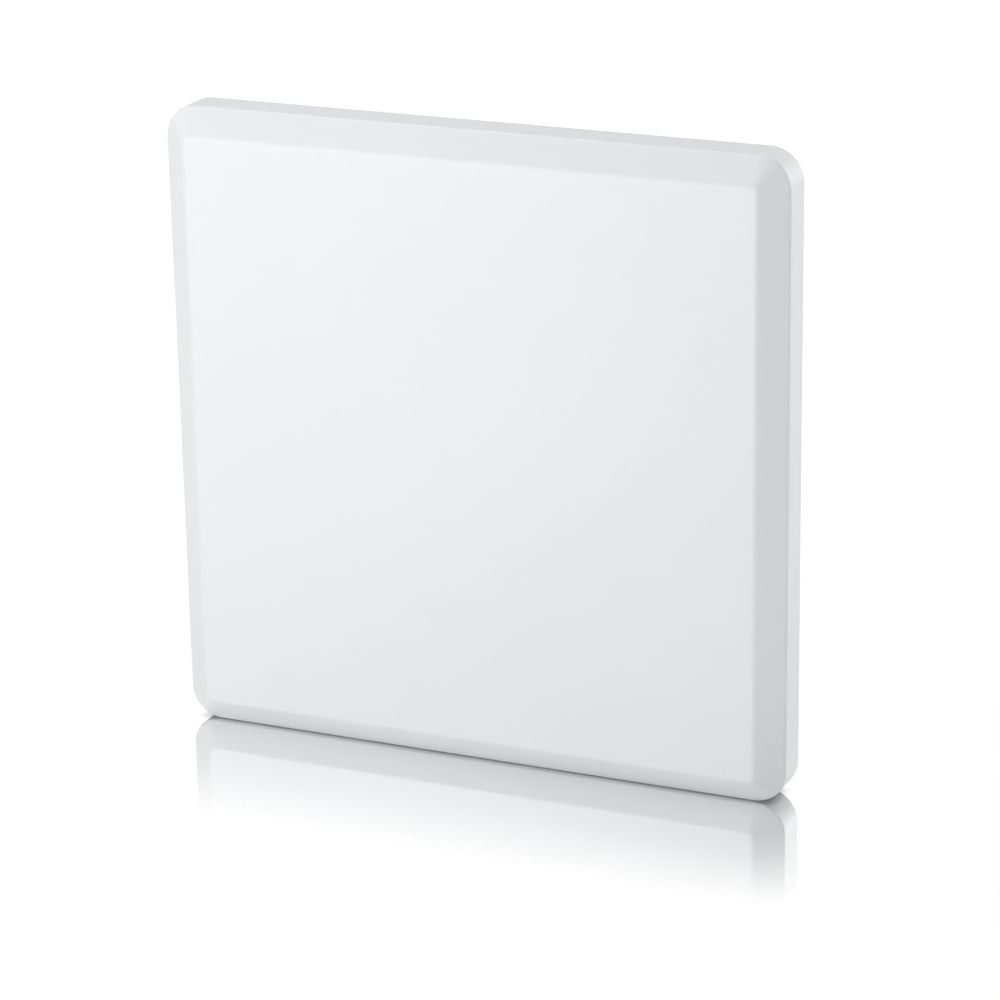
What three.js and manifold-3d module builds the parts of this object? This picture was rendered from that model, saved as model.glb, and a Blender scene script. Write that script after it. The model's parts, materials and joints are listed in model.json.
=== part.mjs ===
// A square ceiling access point, built as the separate pieces that it comes apart into.
//
// Sizes are in millimetres. The pieces are laid out lying on their back: x runs across the
// panel, y up its face and z out of the ceiling into the room, with z = 0 on the ceiling. The
// group is then stood on its lower edge, so in the finished part +Z is up, the front looks
// along -Y, and the origin is the middle of the mounting plate's back.
import * as THREE from "three";
import { mergeVertices } from "three/addons/utils/BufferGeometryUtils.js";
import Module from "manifold-3d";

const wasm = await Module();
wasm.setup();

// ---------------------------------------------------------------- driving dimensions

// Clearances
const seatGap = 0.3; // between a piece and what it drops into
const slideGap = 0.6; // between the plate and the housing that slides over it
const boreGap = 0.2; // round a shank in its hole
const headroom = 1.8; // between the tallest piece on the board and the cover

// Front cover: a flat face, a wide bevel and a straight skirt
const panelSide = 220;
const panelCorner = 11.2;
const skirtDepth = 12.8;
const bevelDepth = 6.6;
const bevelWidth = 9.2;
const faceCorner = 2;
const coverWall = 2.2;
const thinSpotWall = 0.8; // the light shows through the cover here
const caseBossRadius = 4;
const caseScrewInset = 11; // panel side to screw axis

// Rear housing: a shelf inside the skirt, and a shallow tub behind it
const tubInset = 16; // panel side to tub side, at the shelf
const tubDraft = 2;
const tubDepth = 9.5;
const tubCorner = 12;
const housingWall = 2;
const shelfThickness = 2;
const shelfSetback = 0.4; // from the skirt's rear edge
const boardBossRadius = 3.5;
const studBossRadius = 5;
const studBossDepth = 8;

// Mounting plate: pressed sheet with a pan that lies on the ceiling
const sheet = 1.5;
const plateRise = 4; // ceiling to the back of the raised sheet
const plateHalfHeight = 70;
const plateCorner = 6;
const panHalfWidth = 40;
const panHalfHeight = 28;
const ceilingHoleX = 30;
const ceilingHoleY = 20;
const ceilingHoleRadius = 2.3;
const plateStrip = 4; // metal left between the pan and the cable notch
const studInset = 14.5; // plate side to stud axis
const studEndInset = 12; // plate end to the end of a stud's travel

// Shoulder studs, on the housing, that hook into the plate's keyholes
const slideTravel = 12;
const studHeadRadius = 4.8;
const studHeadHeight = 1.6;
const studShankRadius = 2.7;
const studThreadRadius = 2;
const studThreadLength = 7;

// Detent: a sprung slider whose round nose rides up a ramp in the plate's edge
const detentTravel = 3;
const noseRadius = 3;
const noseGap = 0.25; // between the nose and the ramp, square to the ramp
const noseStartToFlangeEnd = 14;
const flangeHalfWidth = 8;
const flangeThickness = 2.5;
const gripStart = 6; // from the nose's axis
const gripLength = 7;
const gripHalfWidth = 5;
const springLength = 7;
const springRadius = 1.15;
const springWire = 0.35;
const stopThickness = 2.5;
const railWidth = 2;
const retainerThickness = 1.5;
const retainerMargin = 2;

// Circuit board
const boardThickness = 1.6;
const boardHalfWidth = 78;
const boardTop = 66;
const boardBottom = -50;
const boardCorner = 3;
const boardHoleInset = 5;

// Cable recess, and the sockets that open into its upper wall
const recessHalfWidth = 30;
const recessTop = -34;
const recessHeight = 40;
const channelHalfWidth = 5;
const channelDepth = 8;
const jackX = -16;
const jackWidth = 16;
const jackHeight = 13.5;
const jackLength = 21.5;
const jackSkin = 0.5;
const plugWidth = 11.8;
const plugHeight = 6.9;
const plugDepth = 12.5;
const latchSlotWidth = 6.2;
const latchSlotHeight = 1.7;
const contactCount = 8;
const contactPitch = 1.02;
const contactSize = 0.5;
const powerX = 5;
const powerWidth = 9;
const powerHeight = 11;
const powerLength = 14;
const powerBoreRadius = 3.2;
const powerBoreDepth = 9.5;
const powerPinRadius = 1;
const powerAxisFromBoard = 6.5;

// Reset button
const resetX = 22;
const resetRadius = 1.3;
const resetTravel = 0.8;
const resetSink = 0.6; // cap below the recess wall's face
const resetFlangeRadius = 2.2;
const resetFlangeThickness = 1;
const resetAxisFromBoard = 4.5;
const switchWidth = 7;
const switchHeight = 7.5;
const switchLength = 6;

// Heat path: chips under shields, pads on the shields, and a finned heat sink on the pads
const shieldHeight = 2.6;
const shieldWall = 0.3;
const chipHeight = 1.3;
const chipMargin = 6; // shield side to chip side
const padThickness = 1;
const padMargin = 3;
const shieldRowY = 32;
const shieldRowHeight = 34;
const cpuShieldWidth = 36;
const radioShieldWidth = 20;
const shieldSpacing = 31;
const sinkToStudBoss = 2.95;
const sinkPostToShield = 3.2;
const sinkPlate = 2.5;
const finCount = 11;
const finThickness = 1.4;
const finFloorGap = 1;
const sinkPostRadius = 2.8;
const sinkPostInset = 5;

// Vents in the tub's back, outside the mounting plate
const ventWidth = 3.2;
const ventLength = 12;
const ventPitch = 9;
const ventEdge = 6; // tub side to the end of a slot

// Antennas: bent strips that stand on the board's room side
const stripThickness = 0.5;
const longAntenna = { length: 28, width: 9 };
const shortAntenna = { length: 15, width: 7 };
const antennaEdge = 8; // board side to an antenna's outer leg

// Screws: shank and head radius, head height and length under the head
const boardScrew = { shank: 1.25, head: 2.7, headHeight: 1.8, length: 9 };
const caseScrew = { shank: 1.25, head: 2.9, headHeight: 1.9, length: 11 };
const sinkScrew = { shank: 1.1, head: 2.4, headHeight: 1.6, length: 5 };
const retainerScrew = { shank: 0.9, head: 1.9, headHeight: 1.2, length: 4 };

// Light pipe over the status light
const lightY = -43;
const ledSize = { width: 3.2, height: 2.8, depth: 1.9 };
const pipeFootRadius = 4.4;
const pipeFootHeight = 3;
const pipeRadius = 2.5;

// Rating label, left blank
const labelThickness = 0.25;
const labelWidth = 15;
const labelHeight = 60;
const labelInset = 4;

// ---------------------------------------------------------------- places worked out from them

const half = panelSide / 2;

// Depths, from the ceiling into the room
const plateBack = plateRise;
const plateFront = plateBack + sheet;
const housingBack = plateFront + slideGap;
const housingFloor = housingBack + housingWall;
const skirtBack = housingBack + tubDepth;
const shelfBack = skirtBack + shelfSetback;
const shelfFront = shelfBack + shelfThickness;
const rim = skirtBack + skirtDepth;
const front = rim + bevelDepth;
const coverFloor = front - coverWall;
const jackLow = housingFloor + seatGap;
const boardBack = jackLow + jackHeight;
const boardFront = boardBack + boardThickness;
const recessRoof = boardBack - seatGap - housingWall;

// Tub
const tubHalf = half - tubInset;
const tubBackHalf = tubHalf - tubDraft;
const tubInnerHalf = tubBackHalf - housingWall;

// Detent, measured inwards from the tub's side wall
const stopX = tubInnerHalf - stopThickness;
const noseX = stopX - springLength - noseStartToFlangeEnd;
const rampSlope = detentTravel / slideTravel;
const noseStandOff = (noseRadius + noseGap) * Math.hypot(1, rampSlope);
const notchDepth = detentTravel + seatGap;
const notchBottomX = noseX - noseStandOff;
const plateHalfWidth = notchBottomX + notchDepth;
const flangeBack = housingFloor + seatGap;
const flangeFront = flangeBack + flangeThickness;
const retainerBack = flangeFront + seatGap;
const retainerFront = retainerBack + retainerThickness;
const railInner = flangeHalfWidth + seatGap;
const railOuter = railInner + railWidth;
const retainerScrewY = railOuter + 2;

// Studs: x either side, and where each row hooks at the narrow end of its keyholes
const studX = plateHalfWidth - studInset;
const studRows = [plateHalfHeight - studEndInset - slideTravel, -plateHalfHeight + studEndInset];
const studHeadFront = plateBack - seatGap;

// Recess walls
const recessBottom = recessTop - recessHeight;
const recessWallInner = recessTop + housingWall;

// Heat path, from the board towards the ceiling
const shieldBack = boardBack - shieldHeight;
const padBack = shieldBack - padThickness;
const sinkPlateBack = padBack - sinkPlate;
const finTip = housingFloor + finFloorGap;
// The sink ends beside the nearer of its neighbours: the stud bosses, or the long antennas that
// its screws come out next to
const antennaX = boardHalfWidth - antennaEdge;
const sinkHalfWidth = Math.min(
  studX - studBossRadius - sinkToStudBoss,
  antennaX - longAntenna.length - seatGap - sinkScrew.head + sinkPostInset,
);
const sinkHalfHeight = shieldRowHeight / 2 + sinkPostToShield + sinkPostRadius + sinkPostInset;
const sinkPosts = corners(sinkHalfWidth - sinkPostInset, sinkHalfHeight - sinkPostInset);

const antennaHeight = coverFloor - boardFront - headroom;
const boardHoles = [-1, 1].flatMap((side) =>
  [boardTop - boardHoleInset, boardBottom + boardHoleInset].map((y) => ({
    x: side * (boardHalfWidth - boardHoleInset),
    y,
  })),
);
const caseHoles = corners(half - caseScrewInset, half - caseScrewInset);
const studs = studRows.flatMap((y) => [-1, 1].map((side) => ({ x: side * studX, y })));
const retainerHoles = [-1, 1].map((side) => ({ x: noseX + gripStart, y: side * retainerScrewY }));

// The four corners of a rectangle round the origin.
function corners(x, y) {
  return [
    { x: -x, y: -y },
    { x, y: -y },
    { x, y },
    { x: -x, y },
  ];
}

// ---------------------------------------------------------------- shapes

// A three.js geometry as a closed solid.
function solid(geometry) {
  const bare = geometry.clone();
  bare.deleteAttribute("normal");
  bare.deleteAttribute("uv");
  const merged = mergeVertices(bare, 1e-4);
  const index = merged.index.array;
  const triVerts = [];
  for (let i = 0; i < index.length; i += 3) {
    const [a, b, c] = index.slice(i, i + 3);
    if (a !== b && b !== c && c !== a) triVerts.push(a, b, c);
  }
  return new wasm.Manifold(
    new wasm.Mesh({
      numProp: 3,
      vertProperties: merged.attributes.position.array,
      triVerts: new Uint32Array(triVerts),
    }),
  );
}

const join = (first, ...others) => others.reduce((whole, other) => whole.add(other), first);
const cut = (first, ...others) => others.reduce((whole, other) => whole.subtract(other), first);

// A box between two x, two y and two z values.
function box(x0, x1, y0, y1, z0, z1) {
  const geometry = new THREE.BoxGeometry(x1 - x0, y1 - y0, z1 - z0);
  geometry.translate((x0 + x1) / 2, (y0 + y1) / 2, (z0 + z1) / 2);
  return solid(geometry);
}

// A round rod along z.
function rod(radius, z0, z1, { x = 0, y = 0, sides = 24 } = {}) {
  const geometry = new THREE.CylinderGeometry(radius, radius, z1 - z0, sides);
  geometry.rotateX(Math.PI / 2);
  geometry.translate(x, y, (z0 + z1) / 2);
  return solid(geometry);
}

// A round rod along y.
function rodAlongY(radius, y0, y1, x, z, sides = 20) {
  const geometry = new THREE.CylinderGeometry(radius, radius, y1 - y0, sides);
  geometry.translate(x, (y0 + y1) / 2, z);
  return solid(geometry);
}

// A turned piece about z. The profile is [radius, z] pairs, from one end of the axis to the other.
function turned(profile, sides = 20) {
  const points = profile.map(([radius, z]) => new THREE.Vector2(radius, z));
  const geometry = new THREE.LatheGeometry(points, sides);
  geometry.rotateX(Math.PI / 2);
  return solid(geometry);
}

// A flat outline given as points, between two z values.
function prism(points, z0, z1) {
  const shape = new THREE.Shape(points.map(([x, y]) => new THREE.Vector2(x, y)));
  const geometry = new THREE.ExtrudeGeometry(shape, { depth: z1 - z0, bevelEnabled: false });
  geometry.translate(0, 0, z0);
  return solid(geometry);
}

// A ring of points round a rectangle with round corners, counter-clockwise.
function roundedRing({ halfWidth, halfHeight = halfWidth, radius, y = 0 }, steps) {
  const arcs = [
    [1, 1, 0],
    [-1, 1, 1],
    [-1, -1, 2],
    [1, -1, 3],
  ];
  return arcs.flatMap(([sx, sy, quarter]) =>
    Array.from({ length: steps + 1 }, (_, i) => {
      const angle = ((quarter + i / steps) * Math.PI) / 2;
      return [
        sx * (halfWidth - radius) + radius * Math.cos(angle),
        y + sy * (halfHeight - radius) + radius * Math.sin(angle),
      ];
    }),
  );
}

// A solid through a stack of rounded rectangles, each at its own z.
function loft(sections, steps = 6) {
  const rings = sections.map((section) => roundedRing(section, steps));
  const count = rings[0].length;
  const positions = rings.flatMap((ring, i) => ring.flatMap(([x, y]) => [x, y, sections[i].z]));
  const last = sections.length - 1;
  const low = positions.length / 3;
  positions.push(0, sections[0].y ?? 0, sections[0].z, 0, sections[last].y ?? 0, sections[last].z);
  const index = [];
  for (let i = 0; i < count; i++) {
    const next = (i + 1) % count;
    index.push(low, next, i, low + 1, last * count + i, last * count + next);
    for (let level = 0; level < last; level++) {
      const a = level * count;
      const b = a + count;
      index.push(a + i, a + next, b + next, a + i, b + next, b + i);
    }
  }
  const geometry = new THREE.BufferGeometry();
  geometry.setAttribute("position", new THREE.Float32BufferAttribute(positions, 3));
  geometry.setIndex(index);
  return solid(geometry);
}

// A rounded plate of even thickness.
function plate(halfWidth, halfHeight, radius, z0, z1, y = 0) {
  return loft(
    [z0, z1].map((z) => ({ halfWidth, halfHeight, radius, y, z })),
    4,
  );
}

// A pan-head screw with its head's underside at z = 0 and its shank towards -z.
function screw({ shank, head, headHeight, length }) {
  return turned(
    [
      [0, -length],
      [shank * 0.6, -length],
      [shank, -length + shank],
      [shank, 0],
      [head, 0],
      [head, headHeight * 0.5],
      [head * 0.72, headHeight],
      [0, headHeight],
    ],
    16,
  );
}

// ---------------------------------------------------------------- materials

const finish = (color, roughness, metalness = 0) =>
  new THREE.MeshStandardMaterial({ color, roughness, metalness });
const whiteCover = finish("#f2f2f3", 0.45);
const whiteHousing = finish("#ececed", 0.5);
const steel = finish("#c9ccce", 0.35, 1);
const zinc = finish("#b9bdc0", 0.35, 1);
const tin = finish("#d3d5d2", 0.28, 1);
const aluminium = finish("#a9adb0", 0.4, 1);
const boardGreen = finish("#1f5b3a", 0.4);
const blackPlastic = finish("#1c1d1f", 0.45);
const greyPad = finish("#8f9fb0", 0.8);
const clear = finish("#e8f1f4", 0.1);
const labelPaper = finish("#dcdcda", 0.6);
const gold = finish("#d3a544", 0.25, 1);
const ferrite = finish("#33343a", 0.6);
const capSleeve = finish("#2b3140", 0.35);
const whitePlastic = finish("#f4f4f2", 0.5);

// ---------------------------------------------------------------- pieces: mounting plate

// Keyhole for one stud: the narrow end at the stud, the wide end one slide travel above it.
function keyhole({ x, y }) {
  const wide = y + slideTravel;
  const narrow = studShankRadius + seatGap;
  const z = [plateBack - 1, plateFront + 1];
  return join(
    rod(studHeadRadius + slideGap, ...z, { x, y: wide }),
    rod(narrow, ...z, { x, y }),
    box(x - narrow, x + narrow, y, wide, ...z),
  );
}

function mountingPlate() {
  const sheetPlate = plate(plateHalfWidth, plateHalfHeight, plateCorner, plateBack, plateFront);
  const pan = cut(
    plate(panHalfWidth, panHalfHeight, plateCorner, 0, plateFront),
    plate(panHalfWidth - sheet, panHalfHeight - sheet, plateCorner - sheet, sheet, plateFront + 1),
  );
  const panOpening = plate(
    panHalfWidth - sheet,
    panHalfHeight - sheet,
    plateCorner - sheet,
    plateBack - 1,
    plateFront + 1,
  );
  const flangeHalf = plateHalfHeight - plateCorner;
  const flanges = [-1, 1].map((side) => {
    const edges = [side * plateHalfWidth, side * (plateHalfWidth - sheet)].sort((a, b) => a - b);
    return box(...edges, -flangeHalf, flangeHalf, 0, plateFront);
  });
  const notchTop = -panHalfHeight - plateStrip;
  const cableNotch = box(
    -recessHalfWidth,
    recessHalfWidth,
    -plateHalfHeight - 1,
    notchTop,
    plateBack - 1,
    plateFront + 1,
  );
  const past = plateHalfWidth + 1;
  const shoulder = -noseStandOff;
  const detentRamp = prism(
    [
      [notchBottomX, shoulder],
      [past, shoulder],
      [past, (past - notchBottomX) / rampSlope],
      [notchBottomX, 0],
    ],
    plateBack,
    plateFront + 1,
  );
  const ceilingHoles = corners(ceilingHoleX, ceilingHoleY).map((at) =>
    rod(ceilingHoleRadius, -1, sheet + 1, at),
  );
  return cut(
    join(cut(sheetPlate, panOpening), pan, ...flanges),
    cableNotch,
    detentRamp,
    ...studs.map(keyhole),
    ...ceilingHoles,
  );
}

// ---------------------------------------------------------------- pieces: front cover

function frontCover() {
  const outer = loft(
    [
      { halfWidth: half, radius: panelCorner, z: skirtBack },
      { halfWidth: half, radius: panelCorner, z: rim },
      { halfWidth: half - bevelWidth, radius: faceCorner, z: front },
    ],
    8,
  );
  const innerFaceHalf = half - bevelWidth - coverWall * (bevelWidth / Math.hypot(bevelWidth, bevelDepth));
  const cavity = loft(
    [
      { halfWidth: half - coverWall, radius: panelCorner - coverWall, z: skirtBack - 1 },
      { halfWidth: half - coverWall, radius: panelCorner - coverWall, z: rim - coverWall / 2 },
      { halfWidth: innerFaceHalf, radius: faceCorner, z: coverFloor },
    ],
    8,
  );
  const bosses = caseHoles.map((at) =>
    rod(caseBossRadius, shelfFront, coverFloor + coverWall / 2, at),
  );
  const bores = caseHoles.map((at) =>
    rod(caseScrew.shank + boreGap, shelfFront - 1, shelfFront + caseScrew.length, at),
  );
  const thinSpot = rod(pipeRadius + seatGap, coverFloor - 1, front - thinSpotWall, { y: lightY });
  return cut(join(cut(outer, cavity), ...bosses.map((boss) => boss.intersect(outer))), thinSpot, ...bores);
}

// ---------------------------------------------------------------- pieces: rear housing

function ventSlots() {
  const slot = (x, y0) =>
    box(x - ventWidth / 2, x + ventWidth / 2, y0, y0 + ventLength, housingBack - 1, housingFloor + 1);
  const highRow = tubBackHalf - ventEdge - ventLength;
  const lowRow = -tubBackHalf + ventEdge;
  const high = Array.from({ length: 11 }, (_, i) => slot((i - 5) * ventPitch, highRow));
  const low = [-1, 1].flatMap((side) =>
    Array.from({ length: 5 }, (_, i) => slot(side * (recessHalfWidth + 14 + i * ventPitch), lowRow)),
  );
  return [...high, ...low];
}

function rearHousing() {
  const tubOuter = loft([
    { halfWidth: tubBackHalf, radius: tubCorner, z: housingBack },
    { halfWidth: tubHalf, radius: tubCorner, z: shelfFront },
  ]);
  const tubInner = loft([
    { halfWidth: tubInnerHalf, radius: tubCorner - housingWall, z: housingFloor },
    { halfWidth: tubHalf - housingWall, radius: tubCorner - housingWall, z: shelfFront + 1 },
  ]);
  const shelfHalf = half - coverWall - seatGap;
  const shelf = plate(shelfHalf, shelfHalf, panelCorner - coverWall, shelfBack, shelfFront);

  // The recess is a box let into the tub, with a channel from it to the tub's lower side.
  const recessBox = box(
    -recessHalfWidth - housingWall,
    recessHalfWidth + housingWall,
    recessBottom - housingWall,
    recessWallInner,
    housingBack,
    recessRoof + housingWall,
  );
  const recessSpace = box(
    -recessHalfWidth,
    recessHalfWidth,
    recessBottom,
    recessTop,
    housingBack - 1,
    recessRoof,
  );
  const channelRoof = housingBack + channelDepth;
  const channelWall = channelHalfWidth + housingWall;
  const channelBox = box(
    jackX - channelWall,
    jackX + channelWall,
    -tubHalf,
    recessBottom,
    housingBack,
    channelRoof + housingWall,
  ).intersect(tubOuter);
  const channelSpace = box(
    jackX - channelHalfWidth,
    jackX + channelHalfWidth,
    -half,
    recessBottom + 1,
    housingBack - 1,
    channelRoof,
  );

  // Windows in the recess's upper wall for the two sockets, and the reset button's hole.
  const window = (x, width, z0) =>
    box(
      x - width / 2 - seatGap,
      x + width / 2 + seatGap,
      recessTop - 1,
      recessWallInner + 1,
      z0,
      boardBack + 1,
    );
  const jackWindow = window(jackX, jackWidth, housingFloor);
  const powerWindow = window(powerX, powerWidth, boardBack - powerHeight - seatGap);
  const resetHole = rodAlongY(
    resetRadius + seatGap,
    recessTop - 1,
    recessWallInner + 1,
    resetX,
    boardBack - resetAxisFromBoard,
  );

  const boardBosses = boardHoles.map((at) => rod(boardBossRadius, housingBack + 1, boardBack, at));
  const boardBores = boardHoles.map((at) =>
    rod(boardScrew.shank + boreGap, boardBack - boardScrew.length, boardBack + 1, { ...at, sides: 16 }),
  );
  const studBosses = studs.map((at) =>
    rod(studBossRadius, housingBack + 1, housingBack + studBossDepth + housingWall / 2, at),
  );
  const studBores = studs.map((at) =>
    rod(studThreadRadius + boreGap, housingBack - 1, housingBack + studBossDepth, { ...at, sides: 16 }),
  );

  // Detent: a slot through the back, rails either side of the slider, a stop for its spring.
  const slot = box(
    noseX - noseRadius - seatGap,
    noseX + gripStart + gripLength + detentTravel + seatGap,
    -gripHalfWidth - seatGap,
    gripHalfWidth + seatGap,
    housingBack - 1,
    housingFloor + 1,
  );
  const railStart = noseX - noseRadius - retainerMargin;
  const rails = [-1, 1].map((side) => {
    const edges = [side * railInner, side * railOuter].sort((a, b) => a - b);
    return box(railStart, tubInnerHalf + 0.5, ...edges, housingBack + 1, retainerBack);
  });
  const stop = box(
    stopX,
    tubInnerHalf + 0.5,
    -springRadius * 3,
    springRadius * 3,
    housingBack + 1,
    retainerBack,
  );
  const retainerBosses = retainerHoles.map((at) =>
    rod(retainerScrew.head + 0.4, housingBack + 1, retainerBack, at),
  );
  const retainerBores = retainerHoles.map((at) =>
    rod(retainerScrew.shank + boreGap, housingFloor + 0.4, retainerBack + 1, { ...at, sides: 16 }),
  );

  const caseBores = caseHoles.map((at) =>
    rod(caseScrew.shank + boreGap, shelfBack - 1, shelfFront + 1, { ...at, sides: 16 }),
  );
  const shell = cut(join(tubOuter, shelf), tubInner);
  return cut(
    join(shell, recessBox, channelBox, ...boardBosses, ...studBosses, ...rails, stop, ...retainerBosses),
    recessSpace,
    channelSpace,
    jackWindow,
    powerWindow,
    resetHole,
    slot,
    ...boardBores,
    ...studBores,
    ...retainerBores,
    ...caseBores,
    ...ventSlots(),
  );
}

// A shoulder stud: z = 0 is the housing's back, its thread goes into the housing.
function mountStud() {
  const headFront = studHeadFront - housingBack;
  const headBack = headFront - studHeadHeight;
  return turned(
    [
      [0, headBack],
      [studHeadRadius - 0.4, headBack],
      [studHeadRadius, headBack + 0.4],
      [studHeadRadius, headFront],
      [studShankRadius, headFront],
      [studShankRadius, 0],
      [studThreadRadius, 0],
      [studThreadRadius, studThreadLength - 1],
      [studThreadRadius * 0.6, studThreadLength],
      [0, studThreadLength],
    ],
    24,
  );
}

// ---------------------------------------------------------------- pieces: detent

function detentSlider() {
  const noseBack = plateBack + seatGap;
  const nose = rod(noseRadius, noseBack, flangeBack + 1, { x: noseX });
  const neck = box(
    noseX,
    noseX + gripStart + 1,
    -noseRadius,
    noseRadius,
    plateFront + seatGap,
    flangeBack + 1,
  );
  const grip = box(
    noseX + gripStart,
    noseX + gripStart + gripLength,
    -gripHalfWidth,
    gripHalfWidth,
    plateBack - seatGap,
    flangeBack + 1,
  );
  const flange = box(
    noseX - noseRadius,
    noseX + noseStartToFlangeEnd,
    -flangeHalfWidth,
    flangeHalfWidth,
    flangeBack,
    flangeFront,
  );
  const grooves = [0, 1, 2].map((i) => {
    const x = noseX + gripStart + 1.4 + i * 1.8;
    return box(x, x + 0.7, -gripHalfWidth - 1, gripHalfWidth + 1, 0, plateBack + 0.3);
  });
  return cut(join(flange, neck, nose, grip), ...grooves);
}

// The spring's outer shape: a sleeve between the slider and its stop.
function detentSpring() {
  const start = noseX + noseStartToFlangeEnd;
  const z = (flangeBack + flangeFront) / 2;
  const sleeve = (radius, x0, x1) => {
    const geometry = new THREE.CylinderGeometry(radius, radius, x1 - x0, 16);
    geometry.rotateZ(Math.PI / 2);
    geometry.translate((x0 + x1) / 2, 0, z);
    return solid(geometry);
  };
  return cut(sleeve(springRadius, start, stopX), sleeve(springRadius - springWire, start - 1, stopX + 1));
}

function detentRetainer() {
  const margin = retainerScrew.head + 0.4;
  const body = box(
    noseX - noseRadius - retainerMargin,
    stopX + stopThickness / 2,
    -railOuter,
    railOuter,
    retainerBack,
    retainerFront,
  );
  const ears = retainerHoles.map(({ x, y }) =>
    join(
      rod(margin, retainerBack, retainerFront, { x, y }),
      box(x - margin, x + margin, Math.min(y, 0), Math.max(y, 0), retainerBack, retainerFront),
    ),
  );
  const holes = retainerHoles.map((at) =>
    rod(retainerScrew.shank + boreGap, retainerBack - 1, retainerFront + 1, { ...at, sides: 16 }),
  );
  return cut(join(body, ...ears), ...holes);
}

// ---------------------------------------------------------------- pieces: board and what is on it

function mainBoard() {
  const middle = (boardTop + boardBottom) / 2;
  const halfHeight = (boardTop - boardBottom) / 2;
  const sheetOfBoard = plate(boardHalfWidth, halfHeight, boardCorner, boardBack, boardFront, middle);
  const holes = boardHoles.map((at) =>
    rod(boardScrew.shank + boreGap * 2, boardBack - 1, boardFront + 1, { ...at, sides: 16 }),
  );
  const sinkHoles = sinkPosts.map(({ x, y }) =>
    rod(sinkScrew.shank + boreGap * 2, boardBack - 1, boardFront + 1, { x, y: y + shieldRowY, sides: 16 }),
  );
  return cut(sheetOfBoard, ...holes, ...sinkHoles);
}

function heatSink() {
  const base = box(
    -sinkHalfWidth,
    sinkHalfWidth,
    shieldRowY - sinkHalfHeight,
    shieldRowY + sinkHalfHeight,
    sinkPlateBack,
    padBack,
  );
  const pitch = (2 * sinkHalfWidth - finThickness) / (finCount - 1);
  const fins = Array.from({ length: finCount }, (_, i) => {
    const x = -sinkHalfWidth + i * pitch;
    return box(
      x,
      x + finThickness,
      shieldRowY - sinkHalfHeight,
      shieldRowY + sinkHalfHeight,
      finTip,
      sinkPlateBack + 0.5,
    );
  });
  const posts = sinkPosts.map(({ x, y }) =>
    rod(sinkPostRadius, padBack - 0.5, boardBack, { x, y: y + shieldRowY, sides: 20 }),
  );
  const bores = sinkPosts.map(({ x, y }) =>
    rod(sinkScrew.shank + boreGap, padBack - 1, boardBack + 1, { x, y: y + shieldRowY, sides: 16 }),
  );
  return cut(join(base, ...fins, ...posts), ...bores);
}

// A block in the row of shields: a shield's outside, its hollow, a chip or a pad.
function onShieldRow(width, margin, z0, z1) {
  return loft(
    [z0, z1].map((z) => ({
      halfWidth: width / 2 - margin,
      halfHeight: shieldRowHeight / 2 - margin,
      radius: 0.8,
      y: shieldRowY,
      z,
    })),
    3,
  );
}

// A five-sided can, open towards the board that it is soldered to.
function shieldCan(width) {
  return cut(
    onShieldRow(width, 0, shieldBack, boardBack),
    onShieldRow(width, shieldWall, shieldBack + shieldWall, boardBack + 1),
  );
}

// An inverted-F antenna: a strip on two legs, standing at the origin with its open end to +x.
function antenna({ length, width }) {
  const top = box(0, length, 0, width, antennaHeight - stripThickness, antennaHeight);
  const leg = (x0, x1) => box(x0, x1, 0, stripThickness, 0, antennaHeight);
  const foot = (x0, x1) => box(x0, x1, -2, stripThickness, 0, stripThickness);
  return join(top, leg(0, 3), foot(0, 3), leg(6, 8), foot(6, 8));
}

function lightPipe() {
  const tip = front - thinSpotWall - seatGap;
  const body = turned([
    [0, boardFront],
    [pipeFootRadius, boardFront],
    [pipeFootRadius, boardFront + pipeFootHeight * 0.6],
    [pipeRadius, boardFront + pipeFootHeight],
    [pipeRadius, tip],
    [0, tip],
  ]);
  const ledHalf = Math.hypot(ledSize.width, ledSize.height) / 2;
  const well = rod(ledHalf + seatGap, boardFront - 1, boardFront + ledSize.depth + seatGap);
  return cut(body, well).translate(0, lightY, 0);
}

// ---------------------------------------------------------------- pieces: sockets

const jackMiddle = jackLow + jackHeight / 2;

function jackShell() {
  const outer = box(
    jackX - jackWidth / 2,
    jackX + jackWidth / 2,
    recessTop,
    recessTop + jackLength,
    jackLow,
    boardBack,
  );
  const inner = box(
    jackX - jackWidth / 2 + jackSkin,
    jackX + jackWidth / 2 - jackSkin,
    recessTop - 1,
    recessTop + jackLength - jackSkin,
    jackLow + jackSkin,
    boardBack - jackSkin,
  );
  return cut(outer, inner);
}

function jackInsert() {
  const skin = jackSkin + 0.1;
  const block = box(
    jackX - jackWidth / 2 + skin,
    jackX + jackWidth / 2 - skin,
    recessTop + jackSkin,
    recessTop + jackLength - skin,
    jackLow + skin,
    boardBack - skin,
  );
  const mouth = box(
    jackX - plugWidth / 2,
    jackX + plugWidth / 2,
    recessTop - 1,
    recessTop + plugDepth,
    jackMiddle - plugHeight / 2,
    jackMiddle + plugHeight / 2,
  );
  const latchSlot = box(
    jackX - latchSlotWidth / 2,
    jackX + latchSlotWidth / 2,
    recessTop - 1,
    recessTop + plugDepth,
    jackMiddle - plugHeight / 2 - latchSlotHeight,
    jackMiddle,
  );
  return cut(block, mouth, latchSlot);
}

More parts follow.
